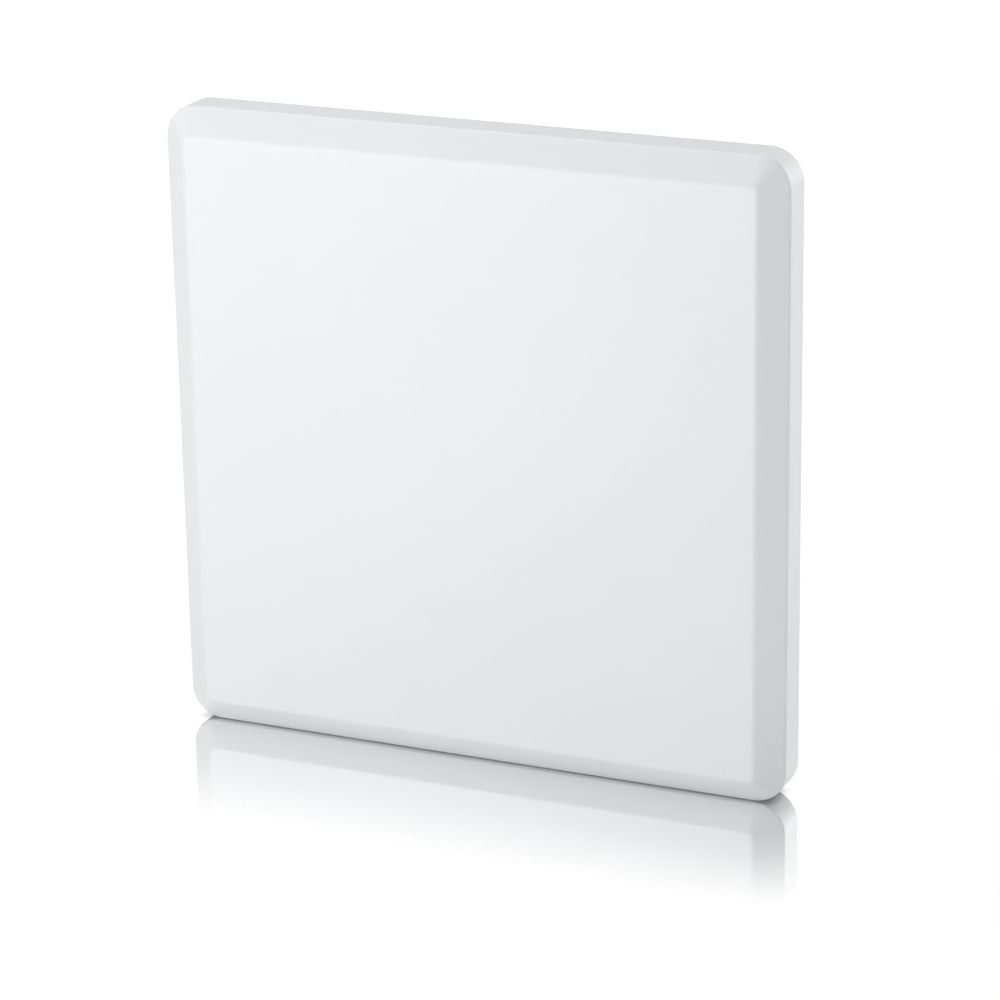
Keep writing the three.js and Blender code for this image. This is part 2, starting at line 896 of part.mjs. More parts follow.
// Eight contacts on one bar, along the side of the mouth nearest the board.
function jackContacts() {
  const end = recessTop + plugDepth - 0.1;
  const top = jackMiddle + plugHeight / 2 - 0.1;
  const row = (contactCount - 1) * contactPitch;
  const bar = box(
    jackX - row / 2 - contactSize / 2,
    jackX + row / 2 + contactSize / 2,
    end - 1,
    end,
    top - 1.6,
    top,
  );
  const tines = Array.from({ length: contactCount }, (_, i) => {
    const x = jackX - row / 2 + i * contactPitch;
    return box(
      x - contactSize / 2,
      x + contactSize / 2,
      recessTop + 2.5,
      end - 0.5,
      top - 1.2,
      top - 1.2 + contactSize,
    );
  });
  return join(bar, ...tines);
}

const powerAxis = boardBack - powerAxisFromBoard;

function powerJack() {
  const body = box(
    powerX - powerWidth / 2,
    powerX + powerWidth / 2,
    recessTop,
    recessTop + powerLength,
    boardBack - powerHeight,
    boardBack,
  );
  const bore = rodAlongY(powerBoreRadius, recessTop - 1, recessTop + powerBoreDepth, powerX, powerAxis);
  return cut(body, bore);
}

function powerPin() {
  const tip = recessTop + 0.8;
  return rodAlongY(powerPinRadius, tip, recessTop + powerBoreDepth, powerX, powerAxis, 16);
}

// ---------------------------------------------------------------- pieces: reset button

const resetAxis = boardBack - resetAxisFromBoard;
const plungerFront = recessTop + resetSink;
const plungerFlangeFront = recessWallInner + seatGap;
const switchFront = plungerFlangeFront + resetFlangeThickness + resetTravel + seatGap;
const plungerEnd = switchFront + 1;

function resetPlunger() {
  const stem = rodAlongY(resetRadius, plungerFront, plungerEnd, resetX, resetAxis);
  const flange = rodAlongY(
    resetFlangeRadius,
    plungerFlangeFront,
    plungerFlangeFront + resetFlangeThickness,
    resetX,
    resetAxis,
  );
  return join(stem, flange);
}

function resetSwitch() {
  const body = box(
    resetX - switchWidth / 2,
    resetX + switchWidth / 2,
    switchFront,
    switchFront + switchLength,
    boardBack - switchHeight,
    boardBack,
  );
  const pocketEnd = plungerEnd + resetTravel + seatGap;
  const pocket = rodAlongY(resetRadius + seatGap, switchFront - 1, pocketEnd, resetX, resetAxis);
  return cut(body, pocket);
}

// ---------------------------------------------------------------- assembly

// One named piece. Each is placed by its position, from where its own shape is drawn.
function piece(name, shape, material, { x = 0, y = 0, z = 0, turn = 0 } = {}) {
  const { numProp, vertProperties, triVerts } = shape.getMesh();
  const positions = new Float32Array((vertProperties.length / numProp) * 3);
  for (let i = 0; i < positions.length / 3; i++) {
    positions.set(vertProperties.subarray(i * numProp, i * numProp + 3), i * 3);
  }
  const geometry = new THREE.BufferGeometry();
  geometry.setAttribute("position", new THREE.BufferAttribute(positions, 3));
  geometry.setIndex(new THREE.BufferAttribute(triVerts, 1));
  const faceted = geometry.toNonIndexed();
  faceted.computeVertexNormals();
  const mesh = new THREE.Mesh(faceted, material);
  mesh.name = name;
  mesh.position.set(x, y, z);
  mesh.rotation.z = turn;
  return mesh;
}

// The same shape at each of several places, numbered from 1.
function repeated(name, shape, material, places) {
  return places.map((place, i) => piece(`${name}_${i + 1}`, shape, material, place));
}

const bracket = new THREE.Group();
bracket.add(piece("mounting_plate", mountingPlate(), aluminium));

const detent = new THREE.Group();
detent.add(piece("detent_slider", detentSlider(), whitePlastic));

const button = new THREE.Group();
button.add(piece("reset_plunger", resetPlunger(), whitePlastic));

const unit = new THREE.Group();
unit.add(
  piece("front_cover", frontCover(), whiteCover),
  piece("rear_housing", rearHousing(), whiteHousing),
  ...repeated(
    "case_screw",
    screw(caseScrew).rotate([180, 0, 0]),
    zinc,
    caseHoles.map((at) => ({ ...at, z: shelfBack })),
  ),
  ...repeated("mount_stud", mountStud(), zinc, studs.map((at) => ({ ...at, z: housingBack }))),
  piece(
    "rating_label",
    plate(labelWidth / 2, labelHeight / 2, 1.5, 0, labelThickness),
    labelPaper,
    { x: -tubBackHalf + labelInset + labelWidth / 2, z: housingBack - labelThickness },
  ),
);

unit.add(
  piece("detent_spring", detentSpring(), steel),
  piece("detent_retainer", detentRetainer(), whitePlastic),
  ...repeated(
    "retainer_screw",
    screw(retainerScrew),
    zinc,
    retainerHoles.map((at) => ({ ...at, z: retainerFront })),
  ),
);

unit.add(
  piece("main_board", mainBoard(), boardGreen),
  ...repeated(
    "board_screw",
    screw(boardScrew),
    zinc,
    boardHoles.map((at) => ({ ...at, z: boardFront })),
  ),
  piece("heat_sink", heatSink(), aluminium),
  ...repeated(
    "heat_sink_screw",
    screw(sinkScrew),
    zinc,
    sinkPosts.map(({ x, y }) => ({ x, y: y + shieldRowY, z: boardFront })),
  ),
);

const shieldRow = [
  { part: "cpu", x: 0, width: cpuShieldWidth },
  { part: "radio_2g", x: -shieldSpacing, width: radioShieldWidth },
  { part: "radio_5g", x: shieldSpacing, width: radioShieldWidth },
];
for (const { part, x, width } of shieldRow) {
  const chip = onShieldRow(width, chipMargin, boardBack - chipHeight, boardBack);
  const pad = onShieldRow(width, padMargin, padBack, shieldBack);
  unit.add(
    piece(`${part}_chip`, chip, blackPlastic, { x }),
    piece(`${part}_shield`, shieldCan(width), tin, { x }),
    piece(`${part}_thermal_pad`, pad, greyPad, { x }),
  );
}

const longShape = antenna(longAntenna);
const shortShape = antenna(shortAntenna);
unit.add(
  piece("antenna_2g_left", longShape, tin, { x: -antennaX, y: 44, z: boardFront }),
  piece("antenna_2g_right", longShape, tin, { x: antennaX, y: 53, z: boardFront, turn: Math.PI }),
  piece("antenna_5g_left", shortShape, tin, { x: -antennaX, y: -22, z: boardFront }),
  piece("antenna_5g_right", shortShape, tin, { x: antennaX, y: -15, z: boardFront, turn: Math.PI }),
);

unit.add(
  piece("ethernet_jack_shell", jackShell(), tin),
  piece("ethernet_jack_insert", jackInsert(), blackPlastic),
  piece("ethernet_contacts", jackContacts(), gold),
  piece("power_jack", powerJack(), blackPlastic),
  piece("power_jack_pin", powerPin(), zinc),
  piece("reset_switch", resetSwitch(), blackPlastic),
);

unit.add(
  piece("poe_transformer", plate(8, 8, 1, -9.5, 0), ferrite, { x: -58, y: -22, z: boardBack }),
  piece("network_transformer", plate(8, 4.5, 0.5, -5.6, 0), blackPlastic, {
    x: jackX,
    y: -5,
    z: boardBack,
  }),
  ...repeated("bulk_capacitor", rod(5, -12, 0), capSleeve, [
    { x: 36, y: -20, z: boardBack },
    { x: 48, y: -20, z: boardBack },
  ]),
  piece("power_inductor", plate(6, 6, 1.5, -5.5, 0), ferrite, { x: 62, y: -34, z: boardBack }),
  piece(
    "status_led",
    box(
      -ledSize.width / 2,
      ledSize.width / 2,
      -ledSize.height / 2,
      ledSize.height / 2,
      0,
      ledSize.depth,
    ),
    whitePlastic,
    { y: lightY, z: boardFront },
  ),
  piece("light_pipe", lightPipe(), clear),
);

const accessPoint = new THREE.Group();
unit.add(detent, button);
accessPoint.add(bracket, unit);
accessPoint.rotation.x = Math.PI / 2; // stands it on its lower edge

export default accessPoint;
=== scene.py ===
"""A square ceiling access point, given its fine shapes and finishes.

Lengths are in metres. The panel stands on its lower edge: +Z is up, the front looks along -Y,
and the origin is the middle of the mounting plate's back.
"""

import json
import math

import bmesh
import bpy
from bpy.props import FloatProperty, FloatVectorProperty, IntProperty, PointerProperty
from mathutils import Matrix, Quaternion, Vector


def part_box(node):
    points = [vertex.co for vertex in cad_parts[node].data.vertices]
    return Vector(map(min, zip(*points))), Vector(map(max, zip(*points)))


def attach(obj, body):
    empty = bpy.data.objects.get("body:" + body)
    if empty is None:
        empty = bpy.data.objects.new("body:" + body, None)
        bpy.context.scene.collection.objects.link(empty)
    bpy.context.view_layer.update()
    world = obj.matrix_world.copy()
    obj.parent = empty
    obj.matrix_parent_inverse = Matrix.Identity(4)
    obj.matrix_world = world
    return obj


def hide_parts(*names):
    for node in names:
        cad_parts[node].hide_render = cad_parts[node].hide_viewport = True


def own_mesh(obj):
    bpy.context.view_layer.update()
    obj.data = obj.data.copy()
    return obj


bl_info = {
    "name": "Ceiling access point",
    "version": (1, 0, 0),
    "blender": (4, 5, 0),
    "location": "3D View > Sidebar > Access Point",
    "description": "Makes the access point's cover, housing, plate, fasteners and electronics",
    "category": "Object",
}

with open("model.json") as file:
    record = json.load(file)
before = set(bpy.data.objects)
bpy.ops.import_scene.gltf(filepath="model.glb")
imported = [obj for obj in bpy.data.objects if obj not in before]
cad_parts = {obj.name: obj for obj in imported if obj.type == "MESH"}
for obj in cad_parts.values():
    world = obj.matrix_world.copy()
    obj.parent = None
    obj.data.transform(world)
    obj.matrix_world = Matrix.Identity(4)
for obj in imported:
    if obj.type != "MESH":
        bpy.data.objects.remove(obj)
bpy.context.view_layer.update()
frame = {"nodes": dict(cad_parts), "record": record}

MM = 0.001
MERGE = 1e-6  # two corners closer than this are one
FLAT = math.radians(1.0)  # faces that differ by less are one flat face
SMOOTH = math.radians(32.0)  # edges that turn by more stay crisp

cover_low, cover_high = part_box("front_cover")
PANEL_HALF = (cover_high.x - cover_low.x) / 2
PANEL_FRONT = cover_low.y
SKIRT_BACK = cover_high.y
FLOOR_LEVEL = cover_low.z


# ------------------------------------------------------------------ sizes and colours


def linear(text):
    """An sRGB hex colour as linear red, green and blue."""
    parts = [int(text[i : i + 2], 16) / 255 for i in (1, 3, 5)]
    return [p / 12.92 if p <= 0.04045 else ((p + 0.055) / 1.055) ** 2.4 for p in parts]


def length(label, words, default):
    return FloatProperty(name=label, description=words, default=default, unit="LENGTH", precision=5)


def share(label, words, default):
    return FloatProperty(name=label, description=words, default=default)


def colour(label, words, text):
    return FloatVectorProperty(
        name=label, description=words, default=linear(text), subtype="COLOR", min=0, max=1
    )


def offset(label, words, default):
    return FloatVectorProperty(name=label, description=words, default=default, subtype="TRANSLATION")


class CoverSizes(bpy.types.PropertyGroup):
    corner_radius: length("Corner radius", "Radius of the outline's corners", 11.2 * MM)
    bevel_width: length("Bevel width", "Width of the bevel, seen from the front", 9.2 * MM)
    bevel_depth: length("Bevel depth", "Depth of the bevel, seen from the side", 6.6 * MM)
    wall: length("Wall", "Thickness of the moulded wall", 2.2 * MM)
    face_round: length("Face edge radius", "Radius where the face turns into the bevel", 3.0 * MM)
    rim_round: length("Rim radius", "Radius where the bevel turns into the skirt", 1.4 * MM)
    back_round: length("Back edge radius", "Radius of the skirt's rear edge", 0.4 * MM)
    boss_radius: length("Boss radius", "Radius of a screw boss inside the cover", 4.0 * MM)
    boss_bore: length("Boss bore", "Radius of the hole in a screw boss", 1.45 * MM)
    boss_start: length("Boss start", "Skirt's rear edge to the screw boss", 2.4 * MM)
    boss_root: length("Boss root", "How far a screw boss runs into the wall", 0.2 * MM)
    thin_spot: length("Thin spot", "Wall left in front of the status light", 0.8 * MM)


class EdgeSizes(bpy.types.PropertyGroup):
    moulded: length("Moulded edges", "Rounding of the large moulded parts' edges", 0.45 * MM)
    sheet: length("Sheet edges", "Rounding of the pressed plate's edges", 0.35 * MM)
    small: length("Small part edges", "Rounding of the small moulded parts' edges", 0.2 * MM)
    thin: length("Thin part edges", "Rounding of thin strips, the label and the board", 0.08 * MM)


class PartSizes(bpy.types.PropertyGroup):
    thread_pitch: length("Thread pitch", "Distance between two thread crests", 0.8 * MM)
    spring_wire: length("Spring wire", "Diameter of the detent spring's wire", 0.35 * MM)
    spring_turns: IntProperty(name="Spring turns", description="Turns of the detent spring", default=8)
    fins: IntProperty(name="Fins", description="Fins on the heat sink", default=11)
    fin_root: length("Fin root", "Thickness of a fin where it leaves the plate", 1.4 * MM)
    fin_tip: length("Fin tip", "Thickness of a fin at its tip", 1.0 * MM)
    contacts: IntProperty(name="Contacts", description="Contacts in the network socket", default=8)
    contact_pitch: length("Contact pitch", "Distance between two contacts", 1.02 * MM)
    part_spacing: length("Part spacing", "Least distance between two chip parts", 2.1 * MM)
    part_seed: IntProperty(name="Part seed", description="Seed for the chip parts' places", default=7)


class FinishColours(bpy.types.PropertyGroup):
    cover: colour("Cover", "Textured white of the cover", "#EFF0F2")
    housing: colour("Housing", "Textured white of the housing", "#E9EAEB")
    acetal: colour("Acetal", "White of the slider, retainer and button", "#E6E6E1")
    board: colour("Board", "Solder mask over bare laminate", "#0F4A2C")
    copper_under_mask: colour("Masked copper", "Solder mask over copper", "#1D6B3F")


class StudioSettings(bpy.types.PropertyGroup):
    lens: share("Lens", "Camera focal length, mm", 135.5)
    roll: FloatProperty(
        name="Roll", description="Turn about the view axis", default=math.radians(-0.98), subtype="ANGLE"
    )
    camera_from_face: offset(
        "Camera place", "Camera, from the middle of the front face", (0.4802, -1.0744, 0.3994)
    )
    aim_on_face: offset(
        "Aim", "What the camera looks at, from the middle of the front face", (0.0119, 0.0, -0.0129)
    )
    ambient: share("Ambient", "Light from all round", 0.04)
    mirror: share("Mirror", "Floor's mirror share at the foot", 0.97)
    mirror_start: length("Mirror start", "Distance at which the floor's mirror starts to fade", 0.026)
    mirror_reach: length("Mirror reach", "Distance at which the floor's mirror is gone", 0.088)
    # Painted contact shadow: the floor's mirror is darkened down to this share where a thing stands
    # close over it
    painted_contact_shade: share("Contact tone", "Mirror's tone at contact", 0.5)
    contact_shade_reach: length("Contact reach", "How near a thing darkens the floor's mirror", 0.003)
    foot_glow: share("Foot glow", "Floor's glow at the foot", 0.92)
    glow_reach: length("Glow reach", "Distance at which the floor's glow is full", 0.3)


# ------------------------------------------------------------------ node and material helpers


def add_node(tree, kind, settings=None, links=None):
    """Adds one node, sets its sockets or properties, and links its inputs to other sockets or to
    the first output of other nodes."""
    node = tree.nodes.new(kind)
    for key, value in (settings or {}).items():
        if isinstance(key, int) or key in node.inputs:
            node.inputs[key].default_value = value
        else:
            setattr(node, key, value)
    for key, source in (links or {}).items():
        output = source.outputs[0] if isinstance(source, bpy.types.Node) else source
        tree.links.new(output, node.inputs[key])
    return node


def object_place(tree):
    return add_node(tree, "ShaderNodeTexCoord").outputs["Object"]


def surface(finish, name, base, roughness, metallic=0.0, **sockets):
    """Keeps a material with one Principled shader as that finish, and returns the shader."""
    material = bpy.data.materials.new(name)
    material.use_nodes = True
    tree = material.node_tree
    tree.nodes.clear()
    settings = {"Base Color": (*base, 1), "Roughness": roughness, "Metallic": metallic, **sockets}
    shader = add_node(tree, "ShaderNodeBsdfPrincipled", settings)
    add_node(tree, "ShaderNodeOutputMaterial", links={"Surface": shader})
    FINISHES[finish] = material
    return shader


def noise_at(shader, size, stretch=(1, 1, 1), detail=2.0):
    """Noise with marks of about that size, longer along an axis whose stretch is under 1."""
    tree = shader.id_data
    scaled = add_node(tree, "ShaderNodeMapping", {"Scale": stretch}, {"Vector": object_place(tree)})
    settings = {"Scale": 1 / size, "Detail": detail}
    return add_node(tree, "ShaderNodeTexNoise", settings, {"Vector": scaled})


def raise_surface(shader, height, depth):
    """Turns a pattern into relief of that depth."""
    tree = shader.id_data
    bump = add_node(tree, "ShaderNodeBump", {"Distance": depth}, {"Height": height})
    tree.links.new(bump.outputs["Normal"], shader.inputs["Normal"])


def vary_roughness(shader, pattern, low, high):
    """Spreads the roughness over a range by a pattern."""
    tree = shader.id_data
    spread = add_node(tree, "ShaderNodeMapRange", {"To Min": low, "To Max": high}, {"Value": pattern})
    tree.links.new(spread.outputs["Result"], shader.inputs["Roughness"])


def vary_colour(shader, pattern, first, second, start=0.35, end=0.65):
    """Blends two colours by a pattern, between two of its values."""
    tree = shader.id_data
    ramp = add_node(tree, "ShaderNodeValToRGB", links={"Fac": pattern})
    for element, position, tint in zip(ramp.color_ramp.elements, (start, end), (first, second)):
        element.position = position
        element.color = (*tint, 1)
    tree.links.new(ramp.outputs["Color"], shader.inputs["Base Color"])
    return ramp


def shaded(tint, factor):
    """The same colour, darker or lighter."""
    return [min(1.0, part * factor) for part in tint]


# ------------------------------------------------------------------ finishes

END_CAP = "end_cap"  # the attribute that marks a chip part's tinned ends
FINISHES = {}


def spark_eroded_abs(finish, name, tint, grain, depth, roughness):
    """ABS moulded against a spark-eroded tool: an even, fine satin grain with no gloss spots.
    Real grain is about 0.1 mm; it is drawn coarser, so that it shows."""
    shader = surface(finish, name, tint, roughness, IOR=1.53)
    fine = noise_at(shader, grain, detail=3)
    raise_surface(shader, fine, depth)
    vary_roughness(shader, fine, roughness - 0.05, roughness + 0.05)
    vary_colour(shader, noise_at(shader, 60 * MM), shaded(tint, 0.99), tint)


def moulded_acetal(tint):
    """Acetal from a polished tool: smooth, faintly waxy, with long flow marks."""
    shader = surface("acetal", "Moulded white acetal", tint, 0.34, IOR=1.48)
    flow = noise_at(shader, 1.2 * MM, (1, 1, 0.2))
    raise_surface(shader, flow, 0.01 * MM)
    vary_colour(shader, flow, shaded(tint, 0.97), tint)


def glass_filled_nylon(tint):
    """Black glass-filled nylon: a dull skin with short pale fibre streaks."""
    shader = surface("nylon", "Black glass-filled nylon", tint, 0.48, IOR=1.53)
    fibres = noise_at(shader, 0.35 * MM, (1, 1, 0.15), 3)
    raise_surface(shader, fibres, 0.012 * MM)
    vary_colour(shader, fibres, tint, linear("#2A2B2D"), 0.45, 0.8)


def moulded_epoxy(tint):
    """Transfer-moulded chip epoxy: flat charcoal with a sandy bloom."""
    shader = surface("epoxy", "Moulded chip epoxy", tint, 0.6)
    sand = noise_at(shader, 0.2 * MM, detail=4)
    raise_surface(shader, sand, 0.008 * MM)
    vary_colour(shader, sand, tint, linear("#303133"))


def pressed_aluminium(tint):
    """Pressed aluminium sheet: faint rolling lines across the plate, softly scuffed."""
    shader = surface("sheet", "Pressed aluminium sheet", tint, 0.36, 1.0)
    lines = noise_at(shader, 0.5 * MM, (0.02, 1, 1), 4)
    raise_surface(shader, lines, 0.006 * MM)
    vary_roughness(shader, noise_at(shader, 9 * MM, detail=6), 0.28, 0.5)
    vary_colour(shader, lines, shaded(tint, 0.93), tint)


def extruded_aluminium(tint):
    """Extruded heat-sink aluminium: die lines run along the fins."""
    shader = surface("extrusion", "Extruded aluminium", tint, 0.4, 1.0)
    lines = noise_at(shader, 0.3 * MM, (1, 1, 0.015), 3)
    raise_surface(shader, lines, 0.01 * MM)
    vary_roughness(shader, lines, 0.32, 0.5)
    vary_colour(shader, lines, shaded(tint, 0.92), tint)


def zinc_plate(tint):
    """Bright zinc with clear passivation: pale steel that drifts from bluish to straw."""
    shader = surface("zinc", "Zinc-plated steel", tint, 0.28, 1.0)
    drift = noise_at(shader, 2.5 * MM, detail=3)
    vary_colour(shader, drift, linear("#B7BEC6"), linear("#CFCDBF"))
    vary_roughness(shader, noise_at(shader, 0.3 * MM, detail=3), 0.2, 0.38)


def drawn_wire(tint):
    """Drawn spring steel: dark, smooth, with marks along the wire."""
    shader = surface("wire", "Drawn spring wire", tint, 0.3, 1.0)
    marks = noise_at(shader, 0.15 * MM, (0.2, 1, 1), 3)
    vary_roughness(shader, marks, 0.2, 0.42)
    vary_colour(shader, marks, shaded(tint, 0.85), tint)


def tin_plate(tint):
    """Tin-plated steel: bright and slightly milky, in faint spangles."""
    shader = surface("tin", "Tin-plated steel", tint, 0.3, 1.0)
    tree = shader.id_data
    size = {"Scale": 1 / (2.2 * MM)}
    spangle = add_node(tree, "ShaderNodeTexVoronoi", size, {"Vector": object_place(tree)})
    vary_roughness(shader, spangle, 0.27, 0.36)
    vary_colour(shader, spangle, linear("#CDD0CF"), linear("#D9DAD6"), 0.2, 0.8)


def gold_flash(tint):
    """Gold-flashed contact wire: thin warm gold over bright nickel."""
    shader = surface("gold", "Gold-flashed wire", tint, 0.22, 1.0)
    wear = noise_at(shader, 0.5 * MM, detail=3)
    vary_colour(shader, wear, linear("#D3A64C"), linear("#E2C07A"))


def solder_mask(bare, over_copper):
    """Glossy green mask on laminate: lighter and a little raised where copper runs beneath."""
    shader = surface("board", "Green solder mask", bare, 0.3, IOR=1.55)
    tree = shader.id_data
    turned = {"Rotation": (math.pi / 2, 0, 0)}
    laid_flat = add_node(tree, "ShaderNodeMapping", turned, {"Vector": object_place(tree)})
    layout = {
        "Scale": 1 / (6 * MM),
        "Mortar Size": 0.03,
        "Mortar Smooth": 0.1,
        "Brick Width": 1.7,
        "Row Height": 0.21,
        "Color1": (0, 0, 0, 1),
        "Color2": (0, 0, 0, 1),
        "Mortar": (1, 1, 1, 1),
    }
    tracks = add_node(tree, "ShaderNodeTexBrick", layout, {"Vector": laid_flat})
    ramp = vary_colour(shader, tracks, bare, over_copper, 0.3, 0.7)
    raise_surface(shader, ramp, 0.03 * MM)
    vary_roughness(shader, noise_at(shader, 3 * MM), 0.24, 0.36)


def silicone_pad(tint):
    """Filled silicone pad: dull blue-grey with a crumbly bloom."""
    shader = surface("pad", "Silicone thermal pad", tint, 0.85)
    crumb = noise_at(shader, 0.5 * MM, detail=5)
    raise_surface(shader, crumb, 0.05 * MM)
    vary_colour(shader, crumb, shaded(tint, 0.9), tint)


def sintered_ferrite(tint):
    """Ground ferrite: near-black grey with fine pores."""
    shader = surface("ferrite", "Sintered ferrite", tint, 0.55)
    pores = noise_at(shader, 0.25 * MM, detail=5)
    raise_surface(shader, pores, 0.02 * MM)
    vary_colour(shader, pores, shaded(tint, 0.6), tint, 0.3, 0.5)


def shrink_sleeve(tint):
    """Shrunk polyester sleeve on a capacitor: glossy, drawn tight in soft ripples."""
    shader = surface("sleeve", "Shrunk polyester sleeve", tint, 0.25)
    ripple = noise_at(shader, 1.5 * MM, (1, 0.3, 1))
    raise_surface(shader, ripple, 0.02 * MM)
    vary_colour(shader, ripple, shaded(tint, 0.8), tint)


def clear_acrylic(tint):
    """Polished acrylic light pipe: clear, with a trace of tool marks."""
    clear = {"Transmission Weight": 1.0}
    shader = surface("acrylic", "Polished acrylic", tint, 0.06, IOR=1.49, **clear)
    marks = noise_at(shader, 0.8 * MM)
    raise_surface(shader, marks, 0.004 * MM)
    vary_roughness(shader, marks, 0.03, 0.12)


def label_film(tint):
    """Blank polyester label: silvery white film with a matt top coat."""
    shader = surface("label", "Matt polyester film", tint, 0.42, 0.15)
    raise_surface(shader, noise_at(shader, 0.4 * MM, detail=4), 0.004 * MM)
    vary_colour(shader, noise_at(shader, 12 * MM), shaded(tint, 0.97), tint)


def chip_ceramic(tint):
    """Fired ceramic chips, black or tan, with tinned ends."""
    shader = surface("ceramic", "Fired ceramic chip", tint, 0.45)
    tree = shader.id_data
    ends = add_node(tree, "ShaderNodeAttribute", {"attribute_name": END_CAP}).outputs["Fac"]
    body = vary_colour(shader, noise_at(shader, 4 * MM), linear("#1E1E20"), linear("#9A7450"), 0, 0.5)
    body.color_ramp.interpolation = "CONSTANT"
    tin = {"data_type": "RGBA", 7: (*linear("#CFD0CE"), 1)}
    mix = add_node(tree, "ShaderNodeMix", tin, {"Factor": ends, 6: body})
    tree.links.new(mix.outputs[2], shader.inputs["Base Color"])
    tree.links.new(ends, shader.inputs["Metallic"])


def make_finishes(colours):
    """Makes every material once."""
    spark_eroded_abs("cover", "Spark-eroded white ABS", colours.cover, 0.5 * MM, 0.004 * MM, 0.43)
    spark_eroded_abs("housing", "Coarse white ABS", colours.housing, 0.7 * MM, 0.012 * MM, 0.52)
    moulded_acetal(colours.acetal)
    solder_mask(colours.board, colours.copper_under_mask)
    plain = {
        glass_filled_nylon: "#1B1C1E",
        moulded_epoxy: "#242527",
        pressed_aluminium: "#C6C8CA",
        extruded_aluminium: "#B4B7BA",
        zinc_plate: "#C2C6CA",
        drawn_wire: "#9DA0A3",
        tin_plate: "#D0D2D0",
        gold_flash: "#D9AE57",
        silicone_pad: "#7E90A6",
        sintered_ferrite: "#35363A",
        shrink_sleeve: "#232A3B",
        clear_acrylic: "#F4F8F8",
        label_film: "#DADBDB",
        chip_ceramic: "#8A6A4A",
    }
    for make, text in plain.items():
        make(linear(text))


def finish_named(key):
    """The material kept under that name, made when the first one is asked for."""
    if not FINISHES:
        make_finishes(bpy.context.scene.finish_colours)
    return FINISHES[key]


# ------------------------------------------------------------------ mesh helpers


def new_piece(name, bm, finish):
    """An object at the origin with that mesh and finish."""
    mesh = bpy.data.meshes.new(name)
    bm.to_mesh(mesh)
    bm.free()
    mesh.materials.append(finish_named(finish))
    piece = bpy.data.objects.new(name, mesh)
    bpy.context.scene.collection.objects.link(piece)
    return piece


def set_down(piece):
    """Makes the evaluated result the piece's own mesh, with no modifier left."""
    graph = bpy.context.evaluated_depsgraph_get()
    mesh = bpy.data.meshes.new_from_object(
        piece.evaluated_get(graph), preserve_all_data_layers=True, depsgraph=graph
    )
    piece.modifiers.clear()
    piece.data = mesh


def shade(piece):
    """Smooth, with crisp edges where the surface turns sharply."""
    piece.data.shade_smooth()
    piece.data.set_sharp_from_angle(angle=SMOOTH)


def round_edges(piece, width, segments=2):
    """Rounds the sharp edges, with the flat faces' shading kept flat."""
    shade(piece)
    edges = piece.modifiers.new("Rounded edges", "BEVEL")
    edges.width = width
    edges.segments = segments
    edges.limit_method = "ANGLE"
    edges.angle_limit = SMOOTH
    edges.use_clamp_overlap = True
    edges.harden_normals = True
    set_down(piece)
    return piece


def combine(piece, other, operation):
    """Cuts or joins another object into a piece, and removes the other."""
    boolean = piece.modifiers.new(operation, "BOOLEAN")
    boolean.operation = operation
    boolean.object = other
    boolean.solver = "EXACT"
    set_down(piece)
    bpy.data.objects.remove(other)
    return piece


def body_of(node):
    """The body that a CAD node rides on."""
    bodies = frame["record"]["behaviour"]["bodies"]
    return next(body for body, members in bodies.items() if node in members)


def finish_piece(piece, slot, *nodes):
    """Parents a finished piece to its first node's body and hides the nodes it stands for; the slot is
    not used.
    """
    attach(piece, body_of(nodes[0]))
    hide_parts(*nodes)


def softened(node, finish, slot, edge, segments=2):
    """A CAD node's own shape with its flat faces whole and its edges rounded."""
    bm = bmesh.new()
    bm.from_mesh(frame["nodes"][node].data)
    bmesh.ops.remove_doubles(bm, verts=bm.verts, dist=MERGE)
    bmesh.ops.dissolve_limit(bm, angle_limit=FLAT, verts=bm.verts, edges=bm.edges)
    piece = round_edges(new_piece(f"fine_{node}", bm, finish), edge, segments)
    finish_piece(piece, slot, node)


def middle(node):
    low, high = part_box(node)
    return (low + high) / 2


def numbered(name, count):
    return [f"{name}_{i + 1}" for i in range(count)]


def add_loft(bm, rings):
    """Skins a list of rings, each with as many points, and closes its ends."""
    rows = [[bm.verts.new(point) for point in ring] for ring in rings]
    count = len(rows[0])
    for first, second in zip(rows, rows[1:]):
        for i in range(count):
            j = (i + 1) % count
            bm.faces.new((first[i], first[j], second[j], second[i]))
    bm.faces.new(rows[0])
    bm.faces.new(reversed(rows[-1]))
    return rows


def rounded_square(half, radius, y, steps=14):
    """A ring round a square with round corners, seen from the front, at one depth."""
    ring = []
    for quarter, (sx, sz) in enumerate([(1, 1), (-1, 1), (-1, -1), (1, -1)]):
        for i in range(steps + 1):
            angle = (quarter + i / steps) * math.pi / 2
            x = sx * (half - radius) + radius * math.cos(angle)
            z = sz * (half - radius) + radius * math.sin(angle)
            ring.append(Vector((x, y, z)))
    return ring


def rounded_path(corners, steps=7):
    """A path of 2D points through (x, y, radius) corners, each turned on an arc."""
    path = [Vector(corners[0][:2])]
    for before, corner, after in zip(corners, corners[1:], corners[2:]):
        point = Vector(corner[:2])
        if not corner[2]:
            path.append(point)
            continue
        into = (Vector(before[:2]) - point).normalized()
        out = (Vector(after[:2]) - point).normalized()
        half_angle = into.angle(out) / 2
        centre = point + (into + out).normalized() * corner[2] / math.sin(half_angle)
        reach = corner[2] / math.tan(half_angle)
        start = (point + into * reach - centre).normalized()
        end = (point + out * reach - centre).normalized()
        for i in range(steps + 1):
            path.append(centre + start.slerp(end, i / steps) * corner[2])
    path.append(Vector(corners[-1][:2]))
    return path


def ring_of(radius, y, sides=32, x=0.0, z=0.0):
    """A circle round an axis along Y."""
    steps = [2 * math.pi * i / sides for i in range(sides)]
    return [Vector((x + radius * math.cos(a), y, z + radius * math.sin(a))) for a in steps]


